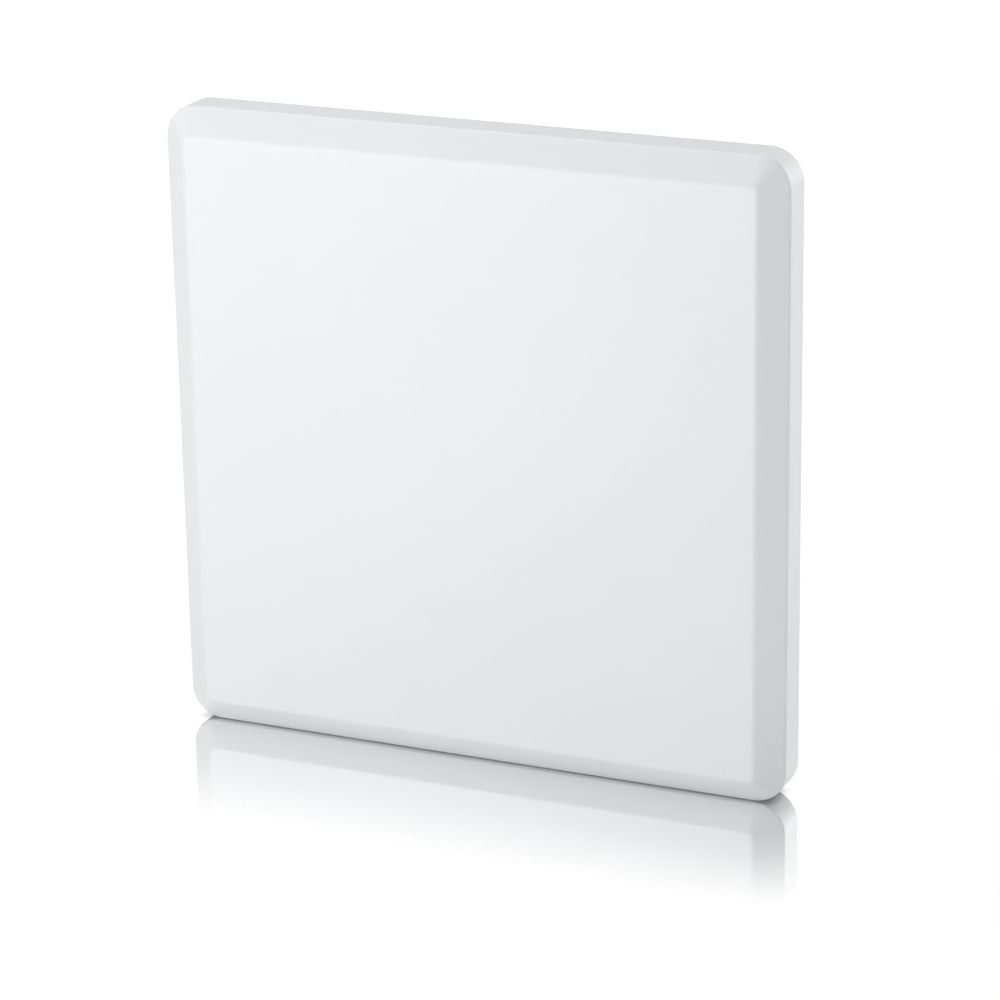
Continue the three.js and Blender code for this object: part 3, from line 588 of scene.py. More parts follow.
def closed_loft(name, rings, finish):
    """A closed object skinned over a list of rings."""
    bm = bmesh.new()
    add_loft(bm, rings)
    bmesh.ops.remove_doubles(bm, verts=bm.verts, dist=MERGE)
    bmesh.ops.recalc_face_normals(bm, faces=bm.faces)
    return new_piece(name, bm, finish)


def round_bar(finish, radius, y0, y1, x, z):
    """A closed round bar along Y, to join to a piece or cut from it."""
    return closed_loft("bar", [ring_of(radius, y, x=x, z=z) for y in (y0, y1)], finish)


# ------------------------------------------------------------------ Geometry Nodes helpers


def repeat_tree(name, inputs, points):
    """A tree that puts a shape on points, made real, with one material. `points` adds the nodes
    that make the points, and returns what the instances take from them."""
    tree = bpy.data.node_groups.new(name, "GeometryNodeTree")
    tree.is_modifier = True
    shared = {"Geometry": "Geometry", "Shape": "Object", "Finish": "Material"}
    for label, kind in shared.items():
        tree.interface.new_socket(label, in_out="INPUT", socket_type=f"NodeSocket{kind}")
    for label, kind, default in inputs:
        socket = tree.interface.new_socket(label, in_out="INPUT", socket_type=f"NodeSocket{kind}")
        socket.default_value = default
    tree.interface.new_socket("Geometry", in_out="OUTPUT", socket_type="NodeSocketGeometry")
    given = add_node(tree, "NodeGroupInput").outputs
    shape = add_node(tree, "GeometryNodeObjectInfo", links={"Object": given["Shape"]})
    spread = {"Instance": shape.outputs["Geometry"], **points(tree, given)}
    placed = add_node(tree, "GeometryNodeInstanceOnPoints", links=spread)
    real = add_node(tree, "GeometryNodeRealizeInstances", links={"Geometry": placed})
    coat = {"Geometry": real, "Material": given["Finish"]}
    coated = add_node(tree, "GeometryNodeSetMaterial", links=coat)
    add_node(tree, "NodeGroupOutput", links={"Geometry": coated})
    return tree


def given_points(tree, given):
    """The points of the mesh that carries the modifier."""
    mesh = {"Mesh": given["Geometry"]}
    return {"Points": add_node(tree, "GeometryNodeMeshToPoints", links=mesh)}


def points_in_a_row(tree, given):
    """Evenly spaced points from a first one."""
    row = {"Count": given["Count"], "Start Location": given["First"], "Offset": given["Step"]}
    return {"Points": add_node(tree, "GeometryNodeMeshLine", links=row)}


def scattered_points(tree, given):
    """Points strewn on the carrying mesh's faces, each turned by a quarter turn or not."""
    seed = {"Seed": given["Seed"]}
    spread = {
        "Mesh": given["Geometry"],
        "Distance Min": given["Spacing"],
        "Density Max": given["Density"],
        **seed,
    }
    method = {"distribute_method": "POISSON"}
    strewn = add_node(tree, "GeometryNodeDistributePointsOnFaces", method, spread)
    whole = {"data_type": "INT", 4: 0, 5: 1}  # the sockets of its least and greatest whole number
    quarters = add_node(tree, "FunctionNodeRandomValue", whole, seed).outputs[2]
    turn = add_node(tree, "ShaderNodeMath", {"operation": "MULTIPLY", 1: math.pi / 2}, {0: quarters})
    angles = add_node(tree, "ShaderNodeCombineXYZ", links={"Y": turn})
    scales = {"data_type": "FLOAT", 2: 0.6, 3: 1.3}  # the sockets of its least and greatest number
    sizes = add_node(tree, "FunctionNodeRandomValue", scales, seed).outputs[1]
    return {"Points": strewn, "Rotation": angles, "Scale": sizes}


def grow(name, tree, bm, shape, finish, **values):
    """Runs a repeat tree on a carrying mesh and keeps the plain mesh that comes out."""
    piece = new_piece(name, bm, finish)
    nodes = piece.modifiers.new("Repeat", "NODES")
    nodes.node_group = tree
    values.update(Shape=shape, Finish=finish_named(finish))
    for item in tree.interface.items_tree:
        key = item.name.replace(" ", "_")
        if item.in_out == "INPUT" and key in values:
            nodes[item.identifier] = values[key]
    piece.update_tag()
    set_down(piece)
    bpy.data.objects.remove(shape)
    shade(piece)
    return piece


def at_points(name, places, shape, finish):
    """Copies of a shape at each of some places, in one mesh."""
    bm = bmesh.new()
    for place in places:
        bm.verts.new(place)
    tree = repeat_tree("Shape at each point", [], given_points)
    return grow(name, tree, bm, shape, finish)


def in_a_row(name, shape, finish, count, first, step):
    """Copies of a shape in an even row, in one mesh."""
    inputs = [
        ("Count", "Int", 2),
        ("First", "Vector", (0, 0, 0)),
        ("Step", "Vector", (0, 0, 0)),
    ]
    tree = repeat_tree("Shape in an even row", inputs, points_in_a_row)
    return grow(name, tree, bmesh.new(), shape, finish, Count=count, First=first, Step=step)


# ------------------------------------------------------------------ cover


SUPPORT = 6 * MM  # from the bevel to a ring on the flat that keeps the edge's shading at the edge
LEAST_CORNER = 0.5 * MM  # radius of the face's own corners
PIPE_ROOM = 2.8 * MM  # radius of the hollow that the light pipe stands in
BORE_GAP = 0.3 * MM  # from a case screw's tip to the end of its bore


def cover_rings(sizes):
    """The cover's section, swept round the panel: outside, rear edge and inside."""
    rim = PANEL_FRONT + sizes.bevel_depth
    slope = math.hypot(sizes.bevel_width, sizes.bevel_depth)
    inner_floor = PANEL_FRONT + sizes.wall
    inner_inset = sizes.bevel_width + sizes.wall * sizes.bevel_width / slope
    inner_rim = rim + sizes.wall / 2
    edge = sizes.back_round
    corners = [
        (inner_inset + SUPPORT, inner_floor, 0),
        (inner_inset, inner_floor, 1.5 * MM),
        (sizes.wall, inner_rim, 1 * MM),
        (sizes.wall, SKIRT_BACK, edge),
        (0, SKIRT_BACK, edge),
        (0, rim, sizes.rim_round),
        (sizes.bevel_width, PANEL_FRONT, sizes.face_round),
        (sizes.bevel_width + SUPPORT, PANEL_FRONT, 0),
    ]
    return [
        rounded_square(PANEL_HALF - inset, max(sizes.corner_radius - inset, LEAST_CORNER), y)
        for inset, y in rounded_path(corners)
    ]


def make_cover(sizes):
    """The hollow moulding with its screw bosses and a thin spot before the status light."""
    cover = closed_loft("cover_moulding", cover_rings(sizes), "cover")
    floor = PANEL_FRONT + sizes.wall
    root = floor - sizes.boss_root
    top = SKIRT_BACK - sizes.boss_start
    for node in numbered("case_screw", 4):
        x, _, z = middle(node)
        bore_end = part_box(node)[0].y - BORE_GAP
        combine(cover, round_bar("cover", sizes.boss_radius, root, top, x, z), "UNION")
        combine(cover, round_bar("cover", sizes.boss_bore, bore_end, top + MM, x, z), "DIFFERENCE")
    light = middle("light_pipe")
    thin = PANEL_FRONT + sizes.thin_spot
    combine(cover, round_bar("cover", PIPE_ROOM, thin, floor + MM, light.x, light.z), "DIFFERENCE")
    shade(cover)
    flat = cover.modifiers.new("Flat faces stay flat", "WEIGHTED_NORMAL")
    flat.keep_sharp = True
    set_down(cover)
    finish_piece(cover, "white_cover", "front_cover")


# ------------------------------------------------------------------ fasteners

# Head and shank radii and head height of each kind; the way its head faces along Y
SCREWS = {
    "case_screw": dict(count=4, head=2.9 * MM, shank=1.25 * MM, height=1.9 * MM, faces=1),
    "board_screw": dict(count=4, head=2.7 * MM, shank=1.25 * MM, height=1.8 * MM, faces=-1),
    "heat_sink_screw": dict(count=4, head=2.4 * MM, shank=1.1 * MM, height=1.6 * MM, faces=-1),
    "retainer_screw": dict(count=2, head=1.9 * MM, shank=0.9 * MM, height=1.2 * MM, faces=-1),
}
THREAD_ROOT = 0.82  # share of the thread's radius that is left between two crests
THREAD_START = 0.6 * MM  # from a fastener's tip to its first ridge
THREAD_END = 1.5 * MM  # least length of a screw's shank without ridges
DOME_TURN = 0.4 * math.pi  # how far a screw's domed head turns in
DOME_SINE = 0.952  # the sine of that turn


def turned_shape(profile, faces, sides=28):
    """A turned shape on Y from (radius, height) pairs; `faces` says which way its head looks."""
    rings = [ring_of(radius, faces * height, sides) for radius, height in profile]
    return closed_loft("turned", rings, "zinc")


def cross_recess(width, depth, top, faces):
    """A cutter for a cross recess: a plus shape that tapers inwards."""
    arm = width / 2
    web = width / 7
    outline = [
        (arm, web), (web, web), (web, arm), (-web, arm), (-web, web), (-arm, web),
        (-arm, -web), (-web, -web), (-web, -arm), (web, -arm), (web, -web), (arm, -web),
    ]
    rings = []
    for scale, height in ((1.0, top + 0.1 * MM), (0.35, top - depth)):
        rings.append([Vector((x * scale, faces * height, z * scale)) for x, z in outline])
    return closed_loft("recess", rings, "zinc")


def screw_shape(head, shank, height, total, faces, pitch):
    """A pan-head screw, its seat at the origin, with ridges for its thread."""
    tip = height - total
    profile = [(shank * 0.3, tip), (shank * 0.6, tip + 0.3 * MM)]
    root = shank * THREAD_ROOT
    for i in range(int((-tip - THREAD_END) / pitch)):
        low = tip + THREAD_START + i * pitch
        profile += [(root, low), (shank, low + pitch * 0.4), (root, low + pitch * 0.8)]
    profile += [(shank * 0.9, -0.2 * MM), (shank, 0), (head - 0.1 * MM, 0), (head, 0.1 * MM)]
    for i in range(1, 6):
        angle = i / 5 * DOME_TURN
        profile.append((head * (0.55 + 0.45 * math.cos(angle)), height * math.sin(angle) / DOME_SINE))
    screw = turned_shape(profile, faces)
    return combine(screw, cross_recess(head * 1.15, height * 0.8, height, faces), "DIFFERENCE")


def at_nodes(name, nodes, seat, shape):
    """A fastener at each node's axis, seated at one depth, in one piece."""
    places = [(middle(node).x, seat, middle(node).z) for node in nodes]
    finish_piece(at_points(name, places, shape, "zinc"), "zinc_steel", *nodes)


def make_screws(sizes):
    """Each kind of screw in one piece, seated where the frame has it."""
    for kind, spec in SCREWS.items():
        nodes = numbered(kind, spec["count"])
        low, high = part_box(nodes[0])
        head, shank, height, faces = (spec[key] for key in ("head", "shank", "height", "faces"))
        seat = (high.y - height) if faces > 0 else (low.y + height)
        shape = screw_shape(head, shank, height, high.y - low.y, faces, sizes.thread_pitch)
        at_nodes(f"{kind}s", nodes, seat, shape)


STUD_HEAD = 1.6 * MM  # height of a shoulder stud's head
STUD_SHANK = 2.7 * MM  # radius of its shoulder
STUD_THREAD = 2.0 * MM  # radius of its thread
STUD_SOCKET = 1.5 * MM  # radius of its hexagon socket, at the corners
SOCKET_DEPTH = 1.1 * MM


def make_studs(sizes):
    """Shoulder studs with a hexagon socket; the head's edge is rounded."""
    nodes = numbered("mount_stud", 4)
    low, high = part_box(nodes[0])
    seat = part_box("rear_housing")[1].y
    head = (high.x - low.x) / 2
    top = high.y - seat
    under = top - STUD_HEAD
    tip = low.y - seat
    crest, root, neck = STUD_THREAD, STUD_THREAD * THREAD_ROOT, STUD_THREAD * 0.85
    profile = [(crest * 0.5, tip), (crest * 0.8, tip + 0.4 * MM)]
    for i in range(int((-tip - 1.2 * MM) / sizes.thread_pitch)):
        start = tip + THREAD_START + i * sizes.thread_pitch
        profile += [(root, start), (crest, start + sizes.thread_pitch / 2)]
    profile += [(neck, -0.3 * MM), (neck, 0), (STUD_SHANK, 0), (STUD_SHANK, under)]
    profile += [(head - 0.15 * MM, under), (head, under + 0.15 * MM), (head, top - 0.5 * MM)]
    profile += [(head - 0.15 * MM, top - 0.15 * MM), (head - 0.5 * MM, top)]
    stud = turned_shape(profile, 1, 36)
    hexagon = [ring_of(STUD_SOCKET, y, 6) for y in (top - SOCKET_DEPTH, top + 0.1 * MM)]
    combine(stud, closed_loft("socket", hexagon, "zinc"), "DIFFERENCE")
    at_nodes("mount_studs", nodes, seat, stud)


# ------------------------------------------------------------------ wires and the detent's spring

STEPS_PER_TURN = 20
END_CLOSING = 0.07  # how far the spring's end turns close up, as a share of its length


def swept_wire(name, path, radius, finish, sides=10):
    """A round wire along a path of points, with flat ends."""
    rings = []
    normal = (path[1] - path[0]).orthogonal()
    for i, point in enumerate(path):
        ahead = path[min(i + 1, len(path) - 1)] - path[max(i - 1, 0)]
        ahead.normalize()
        normal = (normal - ahead * normal.dot(ahead)).normalized()
        across = ahead.cross(normal)
        turns = [2 * math.pi * k / sides for k in range(sides)]
        rings.append([point + (normal * math.cos(a) + across * math.sin(a)) * radius for a in turns])
    return closed_loft(name, rings, finish)


def make_spring(sizes):
    """The detent's helix, its end turns closed up."""
    low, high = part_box("detent_spring")
    wire = sizes.spring_wire / 2
    radius = (high.z - low.z) / 2 - wire
    start = low.x + wire
    span = high.x - low.x - 2 * wire
    steps = sizes.spring_turns * STEPS_PER_TURN
    path = []
    for i in range(steps + 1):
        t = i / steps
        along = t - END_CLOSING * math.sin(2 * math.pi * t)
        angle = 2 * math.pi * sizes.spring_turns * t
        y = middle("detent_spring").y + radius * math.cos(angle)
        path.append(Vector((start + span * along, y, radius * math.sin(angle))))
    spring = swept_wire("detent_coil", path, wire, "wire")
    shade(spring)
    finish_piece(spring, "spring_steel", "detent_spring")
    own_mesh(spring)


# ------------------------------------------------------------------ heat sink


def tapered_fin(sizes, height, reach):
    """One fin from the origin towards the ceiling: thinner at its rounded tip."""
    root = sizes.fin_root / 2
    tip = sizes.fin_tip / 2
    outline = [(-root, 0), (root, 0), (tip, reach - tip)]
    for i in range(1, 6):
        angle = math.pi * i / 6
        outline.append((tip * math.cos(angle), reach - tip + tip * math.sin(angle)))
    outline.append((-tip, reach - tip))
    rings = [[Vector((x, y, z)) for x, y in outline] for z in (-height / 2, height / 2)]
    return closed_loft("fin", rings, "extrusion")


SINK_PLATE = 2.5 * MM  # thickness of the plate that carries the fins
SINK_POST = 2.8 * MM  # radius of a post that a screw goes into
SINK_BORE = 1.3 * MM  # radius of the hole in a post
SINK_EDGE = 0.2 * MM  # rounding of its edges, and how far the fins keep inside them


def make_heat_sink(sizes):
    """A plate on the thermal pads, posts for its screws, and a row of tapered fins."""
    low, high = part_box("heat_sink")
    pad_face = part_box("cpu_thermal_pad")[1].y
    half_plate = pad_face + SINK_PLATE / 2
    bm = bmesh.new()
    bmesh.ops.create_cube(bm, size=1)
    size = Vector((high.x - low.x, SINK_PLATE, high.z - low.z))
    centre = Vector((middle("heat_sink").x, half_plate, middle("heat_sink").z))
    bmesh.ops.transform(bm, matrix=Matrix.LocRotScale(centre, None, size), verts=bm.verts)
    sink = new_piece("finned_heat_sink", bm, "extrusion")
    for node in numbered("heat_sink_screw", 4):
        x, _, z = middle(node)
        combine(sink, round_bar("extrusion", SINK_POST, low.y, half_plate, x, z), "UNION")
        combine(sink, round_bar("extrusion", SINK_BORE, low.y - MM, pad_face, x, z), "DIFFERENCE")
    round_edges(sink, SINK_EDGE)
    root = pad_face + SINK_PLATE - SINK_EDGE
    fin = tapered_fin(sizes, size.z - 2 * SINK_EDGE, high.y - root)
    first = Vector((low.x + sizes.fin_root / 2 + SINK_EDGE, root, centre.z))
    step = Vector(((-2 * first.x) / (sizes.fins - 1), 0, 0))
    combine(sink, in_a_row("fins", fin, "extrusion", sizes.fins, first, step), "UNION")
    shade(sink)
    finish_piece(sink, "sink_aluminium", "heat_sink")


# ------------------------------------------------------------------ board and its parts

PART_DENSITY = 1.0e5  # most chip parts for each square metre, before their spacing thins them

# Bare stretches of the board in mm: x from and to, z from and to, and the side's way along Y
BARE_STRETCHES = [
    (-46, -28, -27, 6, 1),
    (12, 30, -16, 6, 1),
    (38, 72, -8, 8, 1),
    (-72, -50, -8, 8, 1),
    (-36, 36, -4, 40, -1),
]

# Along a chip part: how far from its middle in mm, and its thickness; the ends are swollen by tin
CHIP_STATIONS = [(0.53, 0.92), (0.55, 1.0), (0.88, 1.0), (0.9, 0.85)]
TIN_START = 0.54


def chip_shape():
    """A two-ended chip part lying on the board, its ends marked for their tin."""
    far_side = [(-station, scale) for station, scale in reversed(CHIP_STATIONS)]
    stations = far_side + CHIP_STATIONS
    rings = []
    for station, scale in stations:
        half, top = 0.42 * MM * scale, 0.62 * MM * scale
        section = [(-half, 0), (half, 0), (half, top * 0.9), (half * 0.9, top), (-half * 0.9, top)]
        section.append((-half, top * 0.9))
        rings.append([Vector((station * MM, z, y)) for y, z in section])
    bm = bmesh.new()
    mark = bm.verts.layers.float.new(END_CAP)
    rows = add_loft(bm, rings)
    for row, (station, _) in zip(rows, stations):
        for vertex in row:
            vertex[mark] = float(abs(station) > TIN_START)
    bmesh.ops.recalc_face_normals(bm, faces=bm.faces)
    return new_piece("chip", bm, "ceramic")


def make_chip_parts(sizes):
    """Small chip parts strewn on the board's bare stretches, on both sides."""
    low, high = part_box("main_board")
    inputs = [
        ("Spacing", "Float", 2.1 * MM),
        ("Density", "Float", PART_DENSITY),
        ("Seed", "Int", 0),
    ]
    for side, label in ((1, "ceiling_side_parts"), (-1, "room_side_parts")):
        bm = bmesh.new()
        for x0, x1, z0, z1, way in BARE_STRETCHES:
            if way == side:
                y = high.y if side > 0 else low.y
                corners = [(x0, z0), (x0, z1), (x1, z1), (x1, z0)]
                bm.faces.new([bm.verts.new((x * MM, y, z * MM)) for x, z in corners])
        shape = chip_shape()
        if side < 0:
            shape.data.transform(Matrix.Rotation(math.pi, 4, "X"))
        tree = repeat_tree("Shapes strewn on faces", inputs, scattered_points)
        parts = grow(
            label, tree, bm, shape, "ceramic",
            Spacing=sizes.part_spacing, Density=PART_DENSITY, Seed=sizes.part_seed,
        )
        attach(parts, "unit")


CAN_SIDES = 40
LID_EDGE = 0.8  # the bare top's radius, as a share of the can's
LID_DEPTH = 0.25 * MM  # how far the bare top lies below the sleeve's rim


def make_capacitors():
    """Sleeved cans with a rolled groove, a crimped rim and a bare aluminium top."""
    for node in numbered("bulk_capacitor", 2):
        low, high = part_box(node)
        centre = middle(node)
        radius = (high.x - low.x) / 2
        height = high.y - low.y
        base = 0.4 * MM
        profile = rounded_path(
            [
                (radius * 0.2, 0, 0), (radius - base, 0, 0), (radius, base, 0.3 * MM),
                (radius, 1.6 * MM, 0.4 * MM), (radius - 0.5 * MM, 2.1 * MM, 0.3 * MM),
                (radius, 2.6 * MM, 0.4 * MM), (radius, height, 0.5 * MM),
                (radius * LID_EDGE, height, 0),
            ],
            4,
        )
        path = [tuple(point) for point in profile]
        path += [(radius * LID_EDGE, height - LID_DEPTH), (radius * 0.1, height - LID_DEPTH)]
        rings = [ring_of(r, low.y + h, CAN_SIDES, centre.x, centre.z) for r, h in path]
        can = closed_loft(f"fine_{node}", rings, "sleeve")
        can.data.materials.append(finish_named("extrusion"))
        for face in can.data.polygons:
            away = math.hypot(face.center.x - centre.x, face.center.z - centre.z)
            if face.center.y > low.y + height - 0.3 * MM and away < radius * 0.85:
                face.material_index = 1
        shade(can)
        finish_piece(can, "capacitor_sleeve", node)


# ------------------------------------------------------------------ sockets


CONTACT_WIRE = 0.23 * MM  # radius of a contact's wire


def make_contacts(sizes):
    """Sprung contact wires: each comes in along the socket's board side and slopes back."""
    low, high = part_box("ethernet_contacts")
    board_side = low.y + CONTACT_WIRE
    run = [
        (low.z, board_side), (low.z + 1.2 * MM, board_side), (low.z + 2.0 * MM, board_side + 0.35 * MM),
        (high.z - 1.5 * MM, high.y + 1.6 * MM), (high.z - 0.6 * MM, high.y + 1.9 * MM),
    ]
    path = [Vector((0, y, z)) for z, y in run]
    shape = swept_wire("contact", path, CONTACT_WIRE, "gold", 8)
    row = (sizes.contacts - 1) * sizes.contact_pitch
    first = Vector((middle("ethernet_contacts").x - row / 2, 0, 0))
    step = Vector((sizes.contact_pitch, 0, 0))
    contacts = in_a_row("contact_wires", shape, "gold", sizes.contacts, first, step)
    finish_piece(contacts, "gold_contacts", "ethernet_contacts")


# ------------------------------------------------------------------ stage

# Lamps: place, width, height and power in watts; they all face the origin
LAMPS = {
    "key": ((0.2, -1.3, 0.1), 0.3, 0.3, 2.35),
    "upper left": ((-0.3, -0.6, 0.3), 0.2, 0.2, 0.96),
    "low left": ((-0.4, -1.0, -0.02), 0.4, 0.12, 3.1),
    "overhead": ((-0.1, -0.2, 1.4), 0.8, 0.6, 6.0),
    "rim": ((-0.49, 0.27, 1.17), 0.12, 0.12, 3.0),
    "rear top": ((-0.3, 1.1, 1.1), 0.9, 0.6, 1.0),
    "rear right": ((1.1, 1.2, 0.4), 0.5, 0.9, 9.4),
    "right": ((1.4, 0.3, 0.3), 0.5, 0.7, 5.0),
}


def make_lamps():
    """Soft box lamps, each turned to the origin."""
    for name, (place, width, height, power) in LAMPS.items():
        data = bpy.data.lights.new(name, "AREA")
        data.shape = "RECTANGLE"
        data.size = width
        data.size_y = height
        data.energy = power
        lamp = bpy.data.objects.new(name, data)
        lamp.location = place
        lamp.rotation_euler = Vector(place).to_track_quat("Z", "Y").to_euler()
        bpy.context.scene.collection.objects.link(lamp)


def maths(tree, operation, value, operand, **settings):
    """One maths node: a socket or node, and a socket, node or number."""
    links = {0: value}
    if isinstance(operand, (int, float)):
        settings[1] = operand
    else:
        links[1] = operand
    return add_node(tree, "ShaderNodeMath", {"operation": operation, **settings}, links)


def seen_ray(tree):
    """1 for rays that see the surround: from the camera, a gloss or through glass, but not by way
    of a matt surface, which only the lamps and the ambient light are to reach."""
    ray = add_node(tree, "ShaderNodeLightPath").outputs
    total = ray["Is Camera Ray"]
    for kind in ("Is Glossy Ray", "Is Transmission Ray"):
        total = maths(tree, "MAXIMUM", total, ray[kind])
    return maths(tree, "SUBTRACT", total, ray["Diffuse Depth"], use_clamp=True)


def make_world(studio):
    """Full white where it is seen, and a faint light from all round on the object."""
    world = bpy.data.worlds.new("White studio")
    bpy.context.scene.world = world
    world.use_nodes = True
    tree = world.node_tree
    tree.nodes.clear()
    ambient, white = (
        add_node(tree, "ShaderNodeBackground", {"Color": (1, 1, 1, 1), "Strength": strength})
        for strength in (studio.ambient, 1.0)
    )
    mix = add_node(tree, "ShaderNodeMixShader", links={"Fac": seen_ray(tree), 1: ambient, 2: white})
    add_node(tree, "ShaderNodeOutputWorld", links={"Surface": mix})


def distance_from_foot(tree, sizes):
    """Distance on the floor from the object's foot, the straight part of its lower skirt."""
    split = add_node(tree, "ShaderNodeSeparateXYZ", links={"Vector": object_place(tree)}).outputs
    rim = PANEL_FRONT + sizes.bevel_depth
    foot = (SKIRT_BACK + rim) / 2
    depth = (SKIRT_BACK - rim) / 2
    half = PANEL_HALF - sizes.corner_radius
    from_foot = {"X": (split["X"], 0.0, half), "Y": (split["Y"], foot, depth)}
    beyond = {}
    for axis, (along, centre, reach) in from_foot.items():
        away = maths(tree, "ABSOLUTE", maths(tree, "SUBTRACT", along, centre), 0)
        beyond[axis] = maths(tree, "MAXIMUM", maths(tree, "SUBTRACT", away, reach), 0)
    both = add_node(tree, "ShaderNodeCombineXYZ", links=beyond)
    away = add_node(tree, "ShaderNodeVectorMath", {"operation": "LENGTH"}, {0: both})
    return away.outputs["Value"]


def faded(tree, distance, start, reach, near, far):
    """A value that goes smoothly from `near` at a start distance to `far` at a reach."""
    limits = {"From Min": start, "From Max": reach, "To Min": near, "To Max": far}
    settings = {"interpolation_type": "SMOOTHSTEP", **limits}
    return add_node(tree, "ShaderNodeMapRange", settings, {"Value": distance})


FLOOR_HALF = 8.0  # half the floor's side
FLOOR_WHITE = 0.9  # what the matt floor sends back to the object
FLOOR_SHADE = 0.12  # what it adds to its own glow where it is seen, so that shadows show
FLOOR_GLOSS = 0.03  # roughness of the floor's mirror


def make_floor(studio, sizes):
    """White acrylic: it glows white to the eye, less so at the object's foot, where the shadow and a
    mirror image that dies away are to show.
    Its mirror is darkened where a thing stands close over it: a painted contact shadow."""
    material = bpy.data.materials.new("White acrylic sweep")
    material.use_nodes = True
    tree = material.node_tree
    tree.nodes.clear()
    distance = distance_from_foot(tree, sizes)
    seen = seen_ray(tree)
    glow = faded(tree, distance, studio.mirror_reach, studio.glow_reach, studio.foot_glow, 1.0)
    whites = {"To Min": FLOOR_WHITE, "To Max": FLOOR_SHADE}
    white = add_node(tree, "ShaderNodeMapRange", whites, {"Value": seen})
    matt = add_node(tree, "ShaderNodeBsdfDiffuse", links={"Color": white})
    glowing = {"Strength": maths(tree, "MULTIPLY", glow, seen)}
    light = add_node(tree, "ShaderNodeEmission", links=glowing)
    both = add_node(tree, "ShaderNodeAddShader", links={0: matt, 1: light})
    # Painted contact shadow: ambient occlusion darkens the mirror's colour where a thing stands within
    # reach
    near = {"samples": 8, "Distance": studio.contact_shade_reach}
    open_share = add_node(tree, "ShaderNodeAmbientOcclusion", near).outputs["AO"]
    contact_shade_range = {"To Min": studio.painted_contact_shade}
    tone = add_node(tree, "ShaderNodeMapRange", contact_shade_range, {"Value": open_share})
    mirror = add_node(tree, "ShaderNodeBsdfGlossy", {"Roughness": FLOOR_GLOSS}, {"Color": tone})
    fade = faded(tree, distance, studio.mirror_start, studio.mirror_reach, studio.mirror, 0.0)
    mix = add_node(tree, "ShaderNodeMixShader", links={0: fade, 1: both, 2: mirror})
    add_node(tree, "ShaderNodeOutputMaterial", links={"Surface": mix})
    bm = bmesh.new()
    for x, y in ((-1, -1), (1, -1), (1, 1), (-1, 1)):
        bm.verts.new((x * FLOOR_HALF, y * FLOOR_HALF, FLOOR_LEVEL))
    bm.faces.new(bm.verts)
    mesh = bpy.data.meshes.new("floor")
    bm.to_mesh(mesh)
    bm.free()
    mesh.materials.append(material)
    floor = bpy.data.objects.new("floor", mesh)
    bpy.context.scene.collection.objects.link(floor)


def make_camera(studio):
    """A long lens, a little above and to the right of the face."""
    face_centre = Vector((0, PANEL_FRONT, (cover_low.z + cover_high.z) / 2))
    data = bpy.data.cameras.new("camera")
    data.lens = studio.lens
    camera = bpy.data.objects.new("camera", data)
    camera.location = face_centre + Vector(studio.camera_from_face)
    aim = face_centre + Vector(studio.aim_on_face) - camera.location
    turn = aim.to_track_quat("-Z", "Y") @ Quaternion((0, 0, 1), studio.roll)
    camera.rotation_euler = turn.to_euler()
    bpy.context.scene.collection.objects.link(camera)
    bpy.context.scene.camera = camera


# ------------------------------------------------------------------ operators


class MakeCover(bpy.types.Operator):
    """Makes the bevelled front cover"""

    bl_idname = "access_point.make_cover"
    bl_label = "Cover"

    def execute(self, context):
        make_cover(context.scene.cover_sizes)
        return {"FINISHED"}


class MakeHousing(bpy.types.Operator):
    """Makes the rear housing and its blank label"""

    bl_idname = "access_point.make_housing"
    bl_label = "Rear housing"

    def execute(self, context):
        edges = context.scene.edge_sizes
        softened("rear_housing", "housing", "white_housing", edges.moulded, 3)
        softened("rating_label", "label", "blank_label", edges.thin)
        return {"FINISHED"}


class MakePlate(bpy.types.Operator):
    """Makes the pressed mounting plate"""

    bl_idname = "access_point.make_plate"
    bl_label = "Mounting plate"

    def execute(self, context):
        edges = context.scene.edge_sizes
        softened("mounting_plate", "sheet", "plate_aluminium", edges.sheet, 3)
        return {"FINISHED"}


class MakeFasteners(bpy.types.Operator):
    """Makes the screws and the shoulder studs"""

    bl_idname = "access_point.make_fasteners"
    bl_label = "Screws and studs"

    def execute(self, context):
        make_screws(context.scene.part_sizes)
        make_studs(context.scene.part_sizes)
        return {"FINISHED"}


class MakeDetent(bpy.types.Operator):
    """Makes the detent's slider, spring and retainer"""

    bl_idname = "access_point.make_detent"
    bl_label = "Detent"

    def execute(self, context):
        edges = context.scene.edge_sizes
        softened("detent_slider", "acetal", "white_acetal", edges.small)
        softened("detent_retainer", "acetal", "white_acetal", edges.small)
        make_spring(context.scene.part_sizes)
        return {"FINISHED"}


class MakeReset(bpy.types.Operator):
    """Makes the reset button and its switch"""

    bl_idname = "access_point.make_reset"
    bl_label = "Reset button"

    def execute(self, context):
        edges = context.scene.edge_sizes
        softened("reset_plunger", "acetal", "white_acetal", edges.small)
        softened("reset_switch", "nylon", "black_plastic", edges.small)
        return {"FINISHED"}


class MakeBoard(bpy.types.Operator):
    """Makes the circuit board and the parts on it"""

    bl_idname = "access_point.make_board"
    bl_label = "Circuit board"

    def execute(self, context):
        edges = context.scene.edge_sizes
        softened("main_board", "board", "board_laminate", edges.thin, 1)
        for part in ("cpu", "radio_2g", "radio_5g"):
            softened(f"{part}_chip", "epoxy", "black_plastic", edges.thin)
            softened(f"{part}_shield", "tin", "tinned_steel", edges.thin)
            softened(f"{part}_thermal_pad", "pad", "thermal_pad", edges.small)
        softened("poe_transformer", "ferrite", "ferrite", edges.moulded)
        softened("power_inductor", "ferrite", "ferrite", edges.moulded)
        softened("network_transformer", "epoxy", "black_plastic", edges.small)
        softened("status_led", "acetal", "white_acetal", edges.small)
        softened("light_pipe", "acrylic", "clear_acrylic", edges.small)
        make_capacitors()
        make_chip_parts(context.scene.part_sizes)
        return {"FINISHED"}


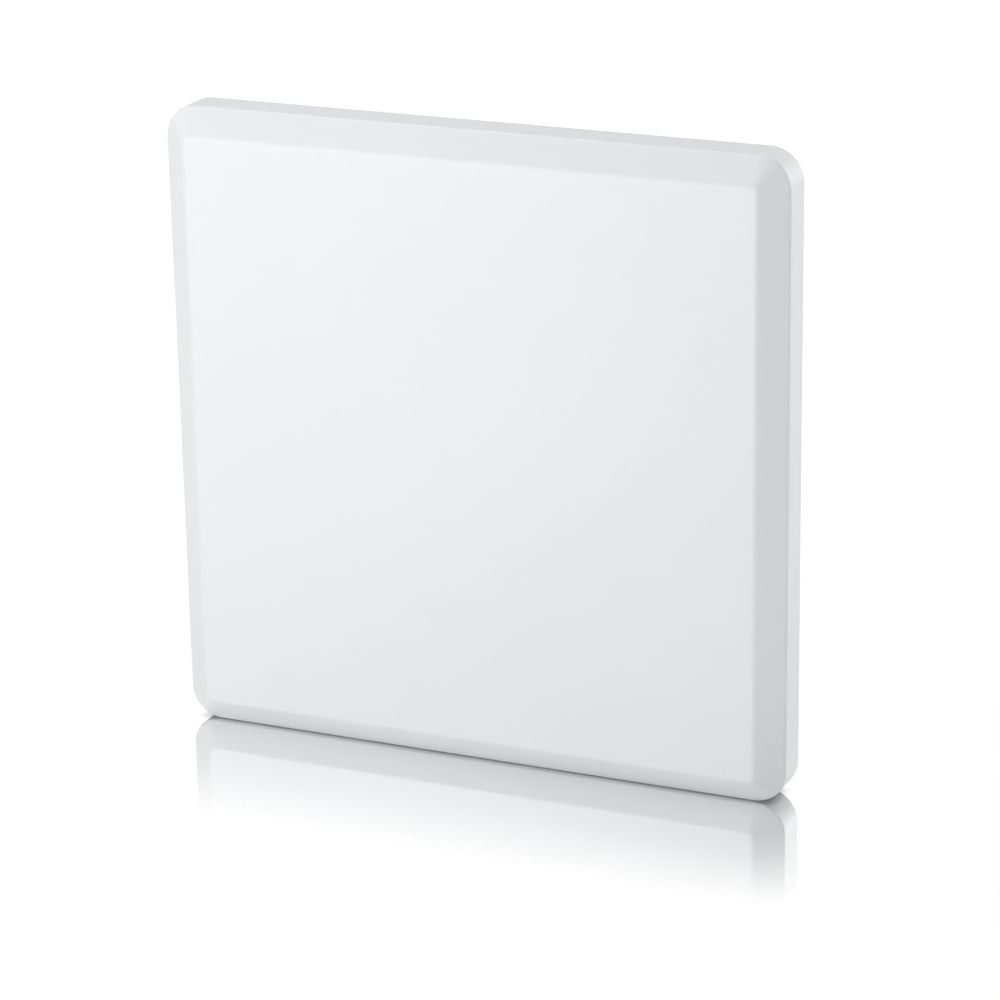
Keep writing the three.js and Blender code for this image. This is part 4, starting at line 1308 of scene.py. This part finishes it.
class MakeHeatSink(bpy.types.Operator):
    """Makes the finned heat sink"""

    bl_idname = "access_point.make_heat_sink"
    bl_label = "Heat sink"

    def execute(self, context):
        make_heat_sink(context.scene.part_sizes)
        return {"FINISHED"}


class MakeAntennas(bpy.types.Operator):
    """Makes the four bent-strip antennas"""

    bl_idname = "access_point.make_antennas"
    bl_label = "Antennas"

    def execute(self, context):
        edges = context.scene.edge_sizes
        for band in ("2g", "5g"):
            for side in ("left", "right"):
                softened(f"antenna_{band}_{side}", "tin", "tinned_steel", edges.thin)
        return {"FINISHED"}


class MakeSockets(bpy.types.Operator):
    """Makes the network and power sockets"""

    bl_idname = "access_point.make_sockets"
    bl_label = "Sockets"

    def execute(self, context):
        edges = context.scene.edge_sizes
        softened("ethernet_jack_shell", "tin", "tinned_steel", edges.thin)
        softened("ethernet_jack_insert", "nylon", "black_plastic", edges.thin)
        softened("power_jack", "nylon", "black_plastic", edges.small)
        softened("power_jack_pin", "zinc", "zinc_steel", edges.small, 3)
        make_contacts(context.scene.part_sizes)
        return {"FINISHED"}


class MakeStage(bpy.types.Operator):
    """Makes the floor, the lamps, the white surround and the camera"""

    bl_idname = "access_point.make_stage"
    bl_label = "Stage"

    def execute(self, context):
        studio = context.scene.studio_settings
        context.scene.view_settings.view_transform = "Standard"
        make_world(studio)
        make_floor(studio, context.scene.cover_sizes)
        make_lamps()
        make_camera(studio)
        return {"FINISHED"}


STEPS = [
    MakeStage,
    MakeCover,
    MakeHousing,
    MakePlate,
    MakeFasteners,
    MakeDetent,
    MakeReset,
    MakeBoard,
    MakeHeatSink,
    MakeAntennas,
    MakeSockets,
]
GROUPS = {
    "cover_sizes": CoverSizes,
    "edge_sizes": EdgeSizes,
    "part_sizes": PartSizes,
    "finish_colours": FinishColours,
    "studio_settings": StudioSettings,
}


class AccessPointPanel(bpy.types.Panel):
    """Lists the steps that make the access point"""

    bl_idname = "VIEW3D_PT_access_point"
    bl_label = "Access point"
    bl_space_type = "VIEW_3D"
    bl_region_type = "UI"
    bl_category = "Access Point"

    def draw(self, context):
        for step in STEPS:
            self.layout.operator(step.bl_idname)
        for name in GROUPS:
            box = self.layout.box()
            group = getattr(context.scene, name)
            for prop in group.bl_rna.properties:
                if prop.identifier not in ("name", "rna_type"):
                    box.prop(group, prop.identifier)


CLASSES = [*GROUPS.values(), *STEPS, AccessPointPanel]


def register():
    for cls in CLASSES:
        bpy.utils.register_class(cls)
    for name, cls in GROUPS.items():
        setattr(bpy.types.Scene, name, PointerProperty(type=cls))


def unregister():
    for name in GROUPS:
        delattr(bpy.types.Scene, name)
    for cls in reversed(CLASSES):
        bpy.utils.unregister_class(cls)


def main():
    register()
    for step in STEPS:
        category, name = step.bl_idname.split(".")
        getattr(getattr(bpy.ops, category), name)()


if __name__ == "__main__":
    main()
